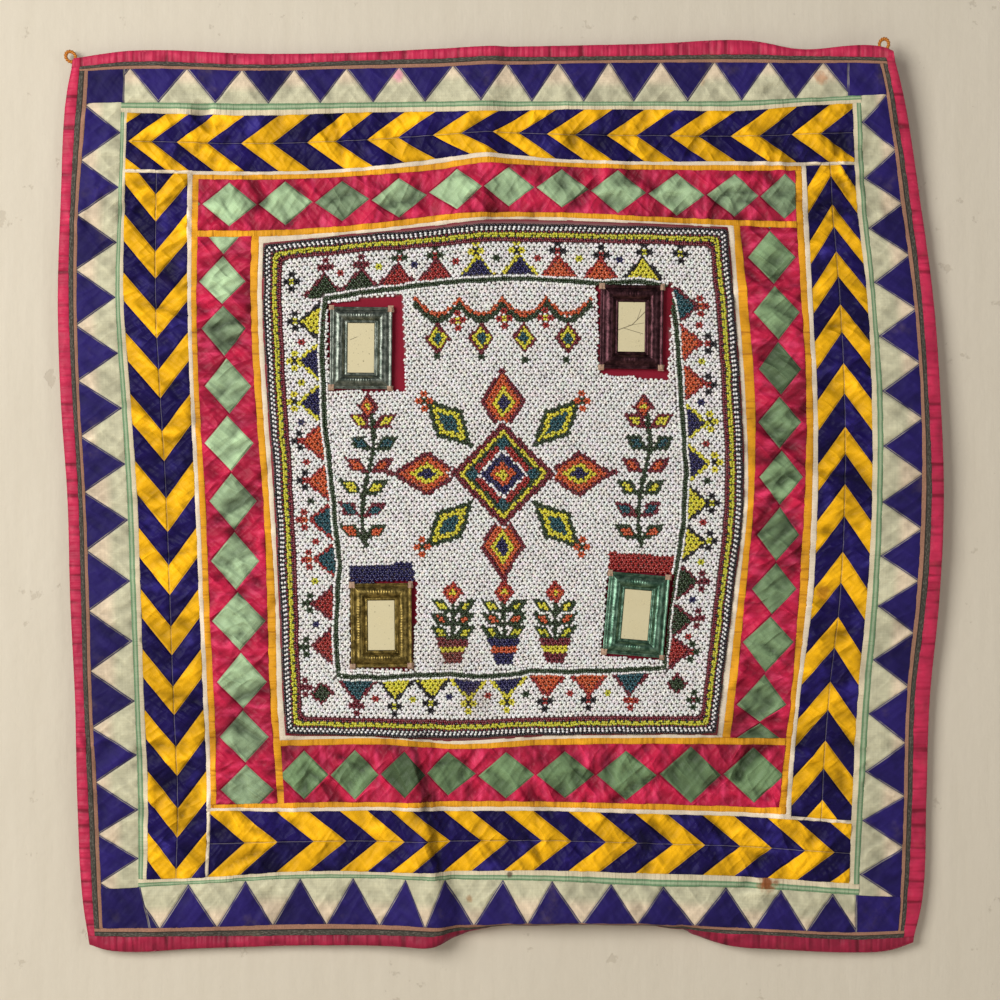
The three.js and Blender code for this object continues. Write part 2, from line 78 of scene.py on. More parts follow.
# Seams from the outside in. Each is a column of the four tables. On the top and bottom the first
# value is the distance right of the middle and the seams are drops. On the left and right the
# first value is the drop and the seams are reaches from the middle.
SEAMS = (
    "edge", "binding", "sawtooth", "frame", "chevron_out", "chevron_in",
    "diamond_out", "diamond_in", "yellow_in", "ground", "beads",
)
SIDES = {
    "top": [
        [-430, 12, 21, 25, 57, 65, 123, 132, 183, 190, 198, 199],
        [-370, 4, 15, 22, 56, 66, 123, 132, 183, 190, 198, 199],
        [-240, 7, 18, 24, 57, 69, 125, 133, 184, 190, 197, 198],
        [-150, 6, 14, 22, 56, 66, 122, 130, 179, 185, 188, 189],
        [-60, 2, 12, 20, 55, 65, 112, 123, 169, 175, 179, 182],
        [-15, 0.5, 10.5, 18.5, 55, 65, 107, 117, 166, 171, 174, 178],
        [60, -1, 10, 17, 55, 63, 112.5, 120, 166, 171, 174, 178],
        [150, -3, 9, 16, 55, 63, 115, 123, 170, 175, 177.5, 180],
        [250, -6, 8, 16, 54, 64, 115, 124, 174, 180, 182, 183.5],
        [300, 3, 10, 17, 52, 60, 116, 124, 175, 182, 184, 185.5],
        [380, 2, 13, 19, 50, 57, 116, 125, 176, 183, 185, 186.5],
        [397, 9, 14.5, 20.5, 49, 56, 117, 126, 177, 184, 186, 187.5],
    ],
    "bottom": [
        [-412, 899, 890.5, 883, 843, 834, 766, 760, 702, 696, 688, 687],
        [-392, 905, 891, 883, 843, 834, 766, 760, 702, 696, 688, 687],
        [-300, 903, 891, 882, 838, 832, 765, 759, 702, 696, 688, 687],
        [-200, 900, 890, 879, 833, 826, 766, 757, 700, 694, 689.5, 688.5],
        [-100, 900, 889, 879, 832.5, 826, 764, 756, 698.5, 692.5, 691, 690.5],
        [-50, 901, 888, 879, 833, 825, 765, 755, 703, 698, 695, 692],
        [50, 897, 884.5, 876, 834, 824, 765, 756, 699, 693, 689.5, 689],
        [150, 899, 886, 877, 839, 827, 768, 758, 698, 692, 688.5, 688],
        [250, 902, 888, 882, 842, 831, 771, 761, 699, 692, 689, 688],
        [350, 907, 894, 887, 849, 838, 778, 763, 701, 694, 689, 688],
        [390, 905, 893, 886, 851, 840, 780, 765, 702, 695, 689, 688],
        [417, 896, 891, 884.5, 852, 841, 782, 766, 703, 696, 689, 688],
    ],
    "left": [
        [10, 427, 420, 412, 377, 372, 313, 302, 248, 240, 236, 235],
        [54, 435, 424, 414, 379, 373, 313, 302, 248, 240, 236, 235],
        [154, 440, 430, 422, 382, 376, 313, 302, 248, 240, 236, 235],
        [254, 443, 432, 424, 385, 377, 313, 304, 250, 243, 238, 237],
        [354, 440, 428, 421, 379, 370, 310, 301, 245, 238, 233, 232],
        [454, 433, 422, 415, 373, 363, 305, 295, 237, 231, 226, 225],
        [554, 430, 419, 411, 369, 359, 301, 291, 233, 225, 221, 220],
        [654, 425, 416, 408, 365, 356, 297, 286, 230, 223, 217, 216],
        [754, 423, 412, 403, 362, 352, 293, 284, 223, 216, 209, 208],
        [854, 418, 408, 399, 362, 354, 296, 286, 223, 216, 208, 207],
        [900, 411, 405, 397, 362, 354, 296, 286, 223, 216, 208, 207],
    ],
    "right": [
        [10, 392, 384, 377, 359, 351, 304, 295, 239, 233, 227, 226],
        [54, 403, 393, 386, 360, 352, 304, 295, 239, 233, 227, 226],
        [154, 420, 410, 401, 366, 357, 308, 296, 239, 233, 227, 226],
        [254, 433.5, 422, 414, 376, 368, 313, 302, 248, 239, 234.5, 234],
        [354, 440, 428, 420.5, 382.5, 372, 318, 307, 255.5, 246, 241.5, 241],
        [454, 443, 431, 421, 382, 372, 318, 305, 254, 248, 244, 243.5],
        [554, 439, 426, 416, 378, 367, 313, 299, 245, 238, 233, 232.5],
        [654, 430, 415, 407, 370, 358, 300, 291, 235, 227, 221, 220.5],
        [754, 427, 413, 404.5, 364, 353, 292, 280, 225, 217, 211, 210.5],
        [854, 423, 408, 401, 359, 349, 290, 278, 224, 216, 210, 209.5],
        [894, 414, 404, 398, 358, 348, 290, 278, 224, 216, 210, 209.5],
    ],
}
OUTWARD = {"top": -1, "bottom": -1, "left": -1, "right": 1}
LEVEL_SIDES = ("top", "bottom")

# How far the cloth stands off the wall where nothing lifts it
WALL_LIFT = 6.0
# Broad swells of the cloth off the wall: middle right, middle down, half width, half height, rise
SWELLS = [
    (400, 10, 90, 120, 13), (430, 430, 70, 190, 9), (90, 900, 150, 90, 17),
    (0, 560, 230, 200, 6), (-380, 640, 90, 170, 5),
]
# Soft creases that run down: the places (drop, right) on each, its rise, how far its gentle left
# and its steep right side reach, and how far it fades past its ends
CREASES = [
    ([(-10, -8), (60, -10), (120, -14), (170, -22)], 7, 36, 12, 26),
    ([(694, -88), (754, -76), (824, -66), (910, -58)], 13, 40, 11, 14),
]
# Bands that crumple: outer and inner seam, millimetres of the side for each crease, how much
# they turn from straight across, half a length and the rise
CREASED_BANDS = [
    ("edge", "binding", 13, 0.25, 6, 0.5), ("sawtooth", "frame", 16, 0.5, 17, 0.6),
    ("chevron_out", "chevron_in", 6.5, 0.6, 18, 1.5), ("diamond_out", "diamond_in", 5, 0.75, 18, 2.2),
]
# Creases placed one by one: from and to in pixels of the photograph, width and rise. All are made
# wider and higher by the two factors.
PLACED_WIDER = 1.1
PLACED_HIGHER = 2.4
PLACED_CREASES = [
    (283, 872, 256, 917, 4.5, -1.4), (452, 870, 462, 925, 7, -1.6), (462, 201, 482, 193, 3, -1.3),
    (322, 205, 358, 190, 3.5, -1.2), (380, 207, 414, 199, 3.5, -1.3), (243, 172, 262, 197, 3.5, -1.4),
    (290, 184, 312, 197, 3.5, -1.2), (592, 193, 644, 186, 3.5, 1.3), (655, 193, 702, 189, 3.5, 1.3),
    (715, 196, 756, 190, 3, -1.0), (500, 168, 532, 183, 3.5, 1.2), (822, 134, 826, 160, 3, -1.2),
    (832, 134, 837, 160, 3, -1.2), (842, 136, 848, 162, 3, -1.2), (832, 168, 850, 200, 3.5, -1.3),
    (843, 166, 857, 192, 3, -1.2), (848, 205, 860, 225, 3, -1.0), (221, 869, 263, 850, 3.5, -1.2),
    (372, 868, 398, 852, 3.5, -1.1), (612, 800, 662, 775, 4, -1.2), (700, 800, 732, 768, 4, -1.2),
    (413, 740, 421, 774, 3.5, -1.5), (421, 768, 428, 814, 4, -2.4), (427, 808, 438, 854, 4, -2.2),
    (436, 848, 441, 884, 3.5, -1.5), (430, 765, 470, 760, 3, -1.2), (310, 770, 334, 800, 3, -1.2),
    (330, 752, 366, 772, 3, -1.3), (478, 836, 500, 862, 3, -1.2), (520, 826, 545, 866, 3, -1.2),
    (548, 775, 590, 764, 3.5, 1.0), (345, 790, 372, 758, 3.5, -1.0), (208, 330, 244, 318, 3.5, -1.2),
    (212, 402, 242, 372, 3.5, -1.2), (216, 520, 250, 498, 3.5, -1.1), (226, 640, 262, 628, 3.5, -1.2),
    (232, 700, 268, 690, 3.5, -1.0), (762, 300, 800, 322, 3.5, -1.3), (760, 430, 800, 452, 3.5, -1.1),
    (770, 545, 800, 520, 3.5, -1.2), (756, 640, 792, 668, 3.5, -1.2), (140, 300, 186, 318, 4, -1.1),
    (152, 560, 196, 548, 4, -1.2), (160, 690, 204, 706, 4, -1.0), (816, 330, 872, 318, 4, -1.1),
    (822, 470, 880, 486, 4, -1.1), (810, 640, 868, 628, 4, -1.0), (330, 108, 346, 166, 4, -1.2),
    (598, 104, 612, 160, 4, -1.0), (705, 104, 690, 160, 4, -1.1), (640, 822, 652, 872, 4, -1.1),
]
# How far the bottom hem turns back to the wall: right of the middle, and the share of the turn
HEM_CURL = [
    (-78, 0), (-66, 0.15), (-55, 0.35), (-42, 0.52), (-30, 0.67), (-15, 0.83), (0, 0.94), (40, 1),
    (140, 1), (160, 0.92), (175, 0.78), (188, 0.63), (200, 0.48), (213, 0.33), (230, 0.15), (250, 0),
]
# How far the edging and the binding turn back where the curl is whole
EDGING_TURN = math.radians(70)
BINDING_TURN = math.radians(115)


def smooth(rows, column, at):
    """The value between a table's rows on the cubic curve through them. Each row's slope is the
    mean of the slopes to its two neighbours, and past the ends the value stays level."""
    table = np.array(rows, float)
    places, values = table[:, 0], table[:, column]
    rises = np.diff(values) / np.diff(places)
    slopes = np.concatenate([rises[:1], (rises[:-1] + rises[1:]) / 2, rises[-1:]])
    at = np.clip(at, places[0], places[-1])
    k = np.clip(np.searchsorted(places, at, side="right") - 1, 0, len(places) - 2)
    span = places[k + 1] - places[k]
    t = (at - places[k]) / span
    near = (1 + 2 * t) * (1 - t) ** 2 * values[k] + t * (1 - t) ** 2 * span * slopes[k]
    far = t * t * (3 - 2 * t) * values[k + 1] + t * t * (t - 1) * span * slopes[k + 1]
    return near + far


def seam(side, name, at):
    """Where a seam lies at a place along its side, as a signed x or z."""
    if name == "cream_in":
        outer = seam(side, "chevron_in", at)
        return outer + (seam(side, "diamond_out", at) - outer) * CREAM_SHARE
    return OUTWARD[side] * smooth(SIDES[side], 1 + SEAMS.index(name), at)


def lift(x, z):
    """How far the cloth stands off the wall: a bell for each swell, and for each crease a bell
    across it that is wider on its left than on its right."""
    drop = -z
    height = WALL_LIFT
    for right, down, wide, high, rise in SWELLS:
        height = height + rise * np.exp(-(((x - right) / wide) ** 2) - ((drop - down) / high) ** 2)
    for places, rise, left_reach, right_reach, fade in CREASES:
        side = x - smooth(places, 1, drop)
        reach = np.where(side < 0, left_reach, right_reach)
        past = np.maximum(np.maximum(places[0][0] - drop, drop - places[3][0]), 0)
        height = height + rise * np.exp(-((side / reach) ** 2) - (past / fade) ** 2)
    return height


LIFT_AT_ORIGIN = lift(0.0, 0.0)


def depth(x, z):
    """The front face's y: the height of the lift at the origin less that at the place."""
    return LIFT_AT_ORIGIN - lift(x, z) - CLOTH / 2


def facing(x, z, proud=0.0):
    """Points of the front face, and for each the step through the cloth to the back."""
    points = np.stack([x, depth(x, z) - proud, z], -1)
    through = np.zeros_like(points)
    through[..., 1] = 1
    return points, through


def hem(x, name):
    """Points on a seam below the sawtooth band and the step through the cloth there. The edging
    runs down and back at one angle from the sawtooth seam, and the binding goes on at a larger
    one. The step lies half way between the two angles at a seam."""
    curl = np.maximum(smooth(HEM_CURL, 1, x), 0)
    edging, binding = EDGING_TURN * curl, BINDING_TURN * curl
    sawtooth_z, binding_z, edge_z = (seam("bottom", s, x) for s in ("sawtooth", "binding", "edge"))

    def run(turn, length):
        return length[..., None] * np.stack([0 * turn, np.sin(turn), -np.cos(turn)], -1)

    def mitre(first, second):
        middle = (first + second) / 2
        step = np.stack([0 * middle, np.cos(middle), np.sin(middle)], -1)
        return step / np.cos((second - first) / 2)[..., None]

    points = np.stack([x, depth(x, sawtooth_z), sawtooth_z], -1)
    if name == "sawtooth":
        return points, mitre(0 * edging, edging)
    points = points + run(edging, sawtooth_z - binding_z)
    if name == "binding":
        return points, mitre(edging, binding)
    return points + run(binding, binding_z - edge_z), mitre(binding, binding)


def cos_sin(degrees):
    """The cosine and the sine of an angle in degrees."""
    return math.cos(math.radians(degrees)), math.sin(math.radians(degrees))


def lengths(a, b):
    """How far along a line each of its points lies."""
    return np.append(0, np.cumsum(np.hypot(np.diff(a), np.diff(b))))


def ripple(p, q, seed):
    """Smooth bumps between -1 and 1: random values on whole numbers of p and q, blended between
    them with the curve 3t^2 - 2t^3."""
    table = np.random.default_rng(seed).uniform(-1, 1, (256, 256))
    i, j = np.floor(p).astype(int), np.floor(q).astype(int)
    s, t = p - i, q - j
    s, t = s * s * (3 - 2 * s), t * t * (3 - 2 * t)
    near = table[i % 256, j % 256] * (1 - s) + table[(i + 1) % 256, j % 256] * s
    far = table[i % 256, (j + 1) % 256] * (1 - s) + table[(i + 1) % 256, (j + 1) % 256] * s
    return near * (1 - t) + far * t


def scattered_creases():
    """Short creases at seeded places on the wide bands, mostly across them. Each row has a place,
    a heading, half a length, a width, a rise, a bend and a steepness of its right side."""
    rng = np.random.default_rng(3)
    rows = []
    for outer, inner, every, spread, reach, rise in CREASED_BANDS:
        for side, table in SIDES.items():
            low, high = table[0][0], table[-1][0]
            count = round((high - low) / every)
            at, share = rng.uniform(low, high, count), rng.uniform(-0.1, 1.1, count)
            start = seam(side, outer, at)
            line = start + (seam(side, inner, at) - start) * share
            level = side in LEVEL_SIDES
            x, z = (at, line) if level else (line, -at)
            heading = rng.normal(math.pi / 2 if level else 0, spread, count)
            rows.append(np.stack([
                x, z, heading, reach * rng.uniform(0.4, 1.3, count), rng.uniform(3.2, 6.0, count),
                rise * rng.uniform(0.35, 1.2, count) * rng.choice([-1, 1], count, p=[0.45, 0.55]),
                rng.normal(0, 0.008, count), rng.uniform(0.4, 1, count)], -1))
    for ax, ay, bx, by, wide, rise in PLACED_CREASES:
        dx, dz = bx - ax, ay - by
        rows.append([[
            (ax + bx) / 2 - ORIGIN_RIGHT, ORIGIN_DOWN - (ay + by) / 2, math.atan2(dz, dx),
            math.hypot(dx, dz) / 2, PLACED_WIDER * wide, PLACED_HIGHER * rise, 0.004, 0.6]])
    return np.concatenate(rows)


CREASE_ROWS = scattered_creases()
# How far round a strip its creases are looked for
CREASE_MARGIN = 30


def creased(x, z):
    """The sum of all creases near a strip: a bell across each, narrower on one side, that fades
    at its ends as exp(-(along / half length)^4)."""
    total = np.zeros_like(x)
    cx, cz = CREASE_ROWS[:, 0], CREASE_ROWS[:, 1]
    near = (cx > x.min() - CREASE_MARGIN) & (cx < x.max() + CREASE_MARGIN)
    near &= (cz > z.min() - CREASE_MARGIN) & (cz < z.max() + CREASE_MARGIN)
    for mx, mz, heading, half, wide, rise, bend, steep in CREASE_ROWS[near]:
        dx, dz = x - mx, z - mz
        around = (np.abs(dx) < half + 15) & (np.abs(dz) < half + 15)
        dx, dz = dx[around], dz[around]
        along = dx * math.cos(heading) + dz * math.sin(heading)
        across = dz * math.cos(heading) - dx * math.sin(heading) + bend * along * along
        reach = np.where(across > 0, wide, wide * steep)
        total[around] += rise * np.exp(-((across / reach) ** 2) - (along / half) ** 4)
    return total


def with_rims(width, cells):
    """Shares from 0 to 1 in even cells, with one narrow cell more at each end."""
    rim = min(RIM_STEP / width, 0.2)
    return np.concatenate([[0], np.linspace(rim, 1 - rim, cells + 1), [1]])


def strip_grid(side, outer, inner, first, last):
    """A strip between two seams of a side, as a grid: rows across it from the outer seam, and
    columns along it from where it meets one neighbour's seam to where it meets the other's."""
    level = side in LEVEL_SIDES
    before, after = ("left", "right") if level else ("top", "bottom")
    places = np.array(SIDES[side], float)
    width = np.abs(seam(side, outer, places[:, 0]) - seam(side, inner, places[:, 0])).mean()
    lap = np.sign(seam(side, inner, 0.0) - seam(side, outer, 0.0)) * -UNDERLAP

    def line(share, at):
        start, end = seam(side, outer, at) + lap, seam(side, inner, at) - lap
        return start + (end - start) * share

    def meet(share, crossing, name, shift):
        at = 0 * share
        for _ in range(ROUNDS):
            along = -line(share, at) if level else line(share, at)
            at = (1 if level else -1) * seam(crossing, name, along)
        return at + shift

    across = with_rims(width, 2 * max(1, round(width / 2 / STEP)))
    starts = meet(across, before, first, -UNDERLAP)
    ends = meet(across, after, last, UNDERLAP)
    length = np.mean(ends - starts)
    along = with_rims(length, round(length / STEP))
    at = starts[:, None] + (ends - starts)[:, None] * along[None, :]
    share = np.broadcast_to(across[:, None], at.shape)
    if side == "bottom" and outer in ("edge", "binding", "sawtooth"):
        low, low_step = hem(at, outer)
        if inner == "frame":
            high, high_step = facing(at, seam("bottom", "frame", at))
        else:
            high, high_step = hem(at, inner)
        reach = np.linalg.norm(high - low, axis=-1, keepdims=True)
        t = -UNDERLAP / reach + (1 + 2 * UNDERLAP / reach) * share[..., None]
        points = low + (high - low) * t
        through = low_step + (high_step - low_step) * share[..., None]
    elif level:
        points, through = facing(at, line(share, at))
    else:
        points, through = facing(line(share, at), -at)
    breadth = np.abs(seam(side, outer, at) - seam(side, inner, at))
    return {
        "points": points, "through": through, "at": at, "share": share, "breadth": breadth,
        "start": at - starts[:, None], "end": ends[:, None] - at}


def grid_faces(shape, wrap=(False, False)):
    """Four corner numbers for each cell of a grid of points, which may close on itself."""
    count = np.arange(shape[0] * shape[1]).reshape(shape)
    if wrap[0]:
        count = np.concatenate([count, count[:1]])
    if wrap[1]:
        count = np.concatenate([count, count[:, :1]], axis=1)
    corners = (count[:-1, :-1], count[1:, :-1], count[1:, 1:], count[:-1, 1:])
    return np.stack([c.ravel() for c in corners], -1)


def sheet_faces(shape):
    """Faces of a closed sheet whose second half of points is its back: front cells, back cells
    turned round, and a rim that runs once round the outline."""
    front = grid_faces(shape)
    half = shape[0] * shape[1]
    count = np.arange(half).reshape(shape)
    ring = np.concatenate([count[0, :], count[1:, -1], count[-1, -2::-1], count[-2:0:-1, 0]])
    after = np.roll(ring, -1)
    rim = np.stack([ring, after, after + half, ring + half], -1)
    return np.concatenate([front, front[:, ::-1] + half, rim])


def twice(values):
    """A grid's values as rows, once for the front and once for the back."""
    rows = values.reshape(-1, values.shape[-1])
    return np.concatenate([rows, rows])


def closed_sheet(front, back):
    """The points and faces of a sheet from grids of its front and of its back."""
    points = np.concatenate([front.reshape(-1, 3), back.reshape(-1, 3)])
    return points, sheet_faces(front.shape[:2])


def joined(parts):
    """Points and faces of several parts as those of one mesh."""
    starts = np.cumsum([0] + [len(points) for points, _ in parts])
    faces = [faces + start for (_, faces), start in zip(parts, starts)]
    return np.concatenate([points for points, _ in parts]), np.concatenate(faces)


def volume_of(points, faces):
    """Six times the signed volume: the sum of corner triple products over a fan of each face."""
    a, b, c = (points[faces[:, k]] for k in (0, 1, 2))
    total = np.einsum("ij,ij->", a, np.cross(b, c))
    if faces.shape[1] == 4:
        d = points[faces[:, 3]]
        total += np.einsum("ij,ij->", a, np.cross(c, d))
    return total


def mesh_piece(name, points, faces, material, attributes=None):
    """An object from points in millimetres and faces of equally many corners, with values on its
    points by name. Faces are turned round if they enclose a negative volume."""
    if volume_of(points, faces) < 0:
        faces = faces[:, ::-1]
    mesh = bpy.data.meshes.new(name)
    corners = faces.shape[1]
    mesh.vertices.add(len(points))
    mesh.vertices.foreach_set("co", (points * MM).astype(np.float32).ravel())
    mesh.loops.add(faces.size)
    mesh.loops.foreach_set("vertex_index", faces.astype(np.int32).ravel())
    mesh.polygons.add(len(faces))
    mesh.polygons.foreach_set("loop_start", np.arange(0, faces.size, corners, dtype=np.int32))
    mesh.polygons.foreach_set("use_smooth", np.ones(len(faces), bool))
    for label, (kind, field, values) in (attributes or {}).items():
        layer = mesh.attributes.new(label, kind, "POINT")
        layer.data.foreach_set(field, np.asarray(values, np.float32).ravel())
    mesh.update(calc_edges=True)
    mesh.materials.append(materials[material])
    piece = bpy.data.objects.new(name, mesh)
    bpy.context.scene.collection.objects.link(piece)
    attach(piece, "root")
    return piece


def linear(text):
    """A colour written as six hex digits, as linear red, green, blue and 1."""
    parts = [int(text[i:i + 2], 16) / 255 for i in (0, 2, 4)]
    return tuple(p / 12.92 if p <= 0.04045 else ((p + 0.055) / 1.055) ** 2.4 for p in parts) + (1.0,)


class Graph:
    """A shader tree being written. Each call adds one node or a few, joins their inputs and gives
    back an output."""

    def __init__(self, tree):
        self.tree = tree

    def join(self, socket, value):
        """Links an output or sets a value. A colour may be given as six hex digits."""
        if isinstance(value, bpy.types.NodeSocket):
            self.tree.links.new(value, socket)
        else:
            socket.default_value = linear(value) if isinstance(value, str) else value

    def add(self, kind, values=None, output=0, **settings):
        node = self.tree.nodes.new("ShaderNode" + kind)
        for key, value in settings.items():
            setattr(node, key, value)
        for socket, value in (values or {}).items():
            self.join(node.inputs[socket], value)
        return node.outputs[output]

    def math(self, operation, first, second=0.0, third=0.0):
        return self.add("Math", {0: first, 1: second, 2: third}, operation=operation)

    def plus(self, first, second):
        return self.math("ADD", first, second)

    def minus(self, first, second):
        return self.math("SUBTRACT", first, second)

    def times(self, first, second):
        return self.math("MULTIPLY", first, second)

    def ramp(self, value, slope, start):
        """The slope times the value, plus the start."""
        return self.math("MULTIPLY_ADD", value, slope, start)

    def apart(self, first, second):
        return self.math("ABSOLUTE", self.minus(first, second))

    def clamp(self, value, low, high):
        return self.math("MAXIMUM", self.math("MINIMUM", value, high), low)

    def step(self, value, low, high):
        """0 below low, 1 above high, and a soft curve between."""
        return self.add("MapRange", {0: value, 1: low, 2: high}, interpolation_type="SMOOTHSTEP")

    def below(self, value, low, high):
        """1 below low, 0 above high, and a soft curve between."""
        return self.minus(1.0, self.step(value, low, high))

    def ridge(self, value, soft):
        """How far a noise is from its middle, rounded off where it crosses it."""
        off = self.minus(value, 0.5)
        return self.math("SQRT", self.ramp(off, off, soft))

    def from_motif(self, phase):
        """How far a phase is from the nearest whole number."""
        return self.apart(self.math("FRACT", self.plus(phase, 0.5)), 0.5)

    def blend(self, factor, first, second, kind="MIX"):
        values = {0: factor, 6: first, 7: second}
        return self.add("Mix", values, 2, data_type="RGBA", blend_type=kind)

    def toned(self, color, value):
        """A colour made darker or lighter by a value."""
        grey = self.add("CombineColor", {0: value, 1: value, 2: value})
        return self.blend(1.0, color, grey, "MULTIPLY")

    def noise(self, vector, scale, detail=2.0, roughness=0.5):
        values = {"Vector": vector, "Scale": scale, "Detail": detail, "Roughness": roughness}
        return self.add("TexNoise", values)

    def drawn(self, along, across, scale, detail=2.0, roughness=0.5):
        """Noise over two measures of the cloth."""
        return self.noise(self.add("CombineXYZ", {0: along, 1: across}), scale, detail, roughness)

    def vector(self, operation, first, second, output=0):
        return self.add("VectorMath", {0: first, 1: second}, output, operation=operation)

    def scaled(self, vector, factor):
        return self.add("VectorMath", {0: vector, 3: factor}, operation="SCALE")

    def attribute(self, name, output="Fac"):
        return self.add("Attribute", output=output, attribute_name=name)

    def place(self):
        return self.add("TexCoord", output="Object")

    def flat_place(self):
        """The place as seen from the front, with no depth."""
        return self.vector("MULTIPLY", self.place(), (1.0, 0.0, 1.0))

    def bump(self, height, strength, distance):
        return self.add("Bump", {"Strength": strength, "Distance": distance, "Height": height})

    def use(self, tree, output, values):
        """Places a group. output is one name, or a tuple of names for a list of outputs."""
        node = self.tree.nodes.new("ShaderNodeGroup")
        node.node_tree = tree
        for label, value in values.items():
            self.join(node.inputs[label], value)
        if isinstance(output, str):
            return node.outputs[output]
        return [node.outputs[label] for label in output]


def node_group(name, inputs, outputs, write):
    """A group with named inputs and outputs. write gets the graph and its inputs by name, and
    gives back a socket for each output."""
    tree = bpy.data.node_groups.new(name, "ShaderNodeTree")
    for label, kind, value in inputs:
        socket = tree.interface.new_socket(label, in_out="INPUT", socket_type="NodeSocket" + kind)
        if value is not None:
            socket.default_value = value
    for label, kind in outputs:
        tree.interface.new_socket(label, in_out="OUTPUT", socket_type="NodeSocket" + kind)
    entry = tree.nodes.new("NodeGroupInput")
    results = write(Graph(tree), entry.outputs)
    leave = tree.nodes.new("NodeGroupOutput")
    for label, socket in results.items():
        tree.links.new(socket, leave.inputs[label])
    return tree


def write_weave(g, given):
    """Threads over and under: the product of a sine along X and one along Z, in turns of the
    thread's pitch, with their crowns uneven."""
    vector = g.scaled(given["Vector"], given["Threads"])
    x, z = (g.math("SINE", g.add("SeparateXYZ", {0: vector}, k)) for k in (0, 2))
    height = g.ramp(g.times(x, z), 0.5, g.times(g.noise(given["Vector"], 900.0), 0.6))
    return {"Height": height, "Shade": g.ramp(height, 0.12, 0.91)}


def write_crumple(g, given):
    """Small creases: soft ridges where a wandering noise crosses its middle, coarse and fine."""
    drift = g.add("TexNoise", {"Vector": given["Vector"], "Scale": 34.0, "Detail": 2.0}, 1)
    vector = g.vector("ADD", given["Vector"], g.scaled(drift, 0.015))
    total = 0.0
    for rise, factor in ((1.6, 1.0), (0.5, 2.3)):
        noise = g.noise(vector, g.times(given["Scale"], factor), 1.0)
        total = g.ramp(g.ridge(noise, 0.0006), -rise, total)
    return {"Height": total}


def write_age(g, given):
    """Uneven fading: a broad and a middle noise make the colour lighter or darker, and patches of
    the finest one mix in some soil."""
    broad = g.noise(given["Vector"], 7.0, 3.0)
    middle = g.noise(given["Vector"], 45.0, 3.0, 0.6)
    value = g.minus(g.ramp(g.plus(broad, middle), given["Fade"], 1.0), given["Fade"])
    patches = g.step(g.noise(given["Vector"], 26.0, 4.0, 0.65), 0.55, 0.8)
    faded = g.toned(given["Color"], value)
    return {"Color": g.blend(g.times(patches, given["Soil"]), faded, given["Soil Color"])}


def write_seam(g, given):
    """From a distance in millimetres that is positive inside a patch: the patch's mask, a line on
    its seam, and the dip of the seam."""
    away = g.math("ABSOLUTE", given["Distance"])
    inside = g.step(given["Distance"], -0.25, 0.25)
    dip = g.times(g.below(away, 0.0, 1.8), -1.0)
    return {"Inside": inside, "Line": g.below(away, 0.15, given["Line Width"]), "Dip": dip}


def write_stain(g, given):
    """A blot with a broken edge: the distance from its middle, roughened by noise."""
    away = g.vector("DISTANCE", given["Vector"], given["Middle"], "Value")
    share = g.math("DIVIDE", away, given["Radius"])
    rough = g.ramp(g.noise(given["Vector"], 160.0, 3.0), 1.4, share)
    return {"Mask": g.below(rough, 1.0, 1.7)}


def write_stroke(g, given):
    """A thin line between two places, from the distance to the nearest place on it."""
    run = g.vector("SUBTRACT", given["To"], given["From"])
    here = g.vector("SUBTRACT", given["Vector"], given["From"])
    reach, square = (g.vector("DOT_PRODUCT", first, run, "Value") for first in (here, run))
    nearest = g.scaled(run, g.clamp(g.math("DIVIDE", reach, square), 0.0, 1.0))
    away = g.vector("DISTANCE", here, nearest, "Value")
    return {"Mask": g.below(away, g.times(given["Half Width"], 0.4), given["Half Width"])}


PLACE_INPUT = ("Vector", "Vector", None)
MASK = [("Mask", "Float")]
WEAVE = node_group(
    "thread_weave", [PLACE_INPUT, ("Threads", "Float", 9000.0)],
    [("Height", "Float"), ("Shade", "Float")], write_weave)
CRUMPLE = node_group(
    "fine_crumple", [PLACE_INPUT, ("Scale", "Float", 60.0)], [("Height", "Float")], write_crumple)
AGE = node_group(
    "fade_and_soil",
    [PLACE_INPUT, ("Color", "Color", None), ("Fade", "Float", 0.3), ("Soil", "Float", 0.3),
     ("Soil Color", "Color", linear("8a7650"))],
    [("Color", "Color")], write_age)
SEAM_LINE = node_group(
    "patch_seam", [("Distance", "Float", 0.0), ("Line Width", "Float", 0.8)],
    [("Inside", "Float"), ("Line", "Float"), ("Dip", "Float")], write_seam)
STAIN = node_group(
    "stain_blot", [PLACE_INPUT, ("Middle", "Vector", None), ("Radius", "Float", 0.01)], MASK,
    write_stain)
STROKE = node_group(
    "fine_stroke",
    [PLACE_INPUT, ("From", "Vector", None), ("To", "Vector", None), ("Half Width", "Float", 0.0005)],
    MASK, write_stroke)


materials = {}


def new_material(name):
    """A material with its graph and its Principled shader."""
    material = bpy.data.materials.new(name)
    material.use_nodes = True
    graph = Graph(material.node_tree)
    shader = material.node_tree.nodes["Principled BSDF"]
    materials[name] = material
    return graph, shader


# What small creases and long folds are below 0 in the mean, so that their shading evens out
CRUMPLE_MEAN = 0.2
FOLDS_MEAN = 0.21


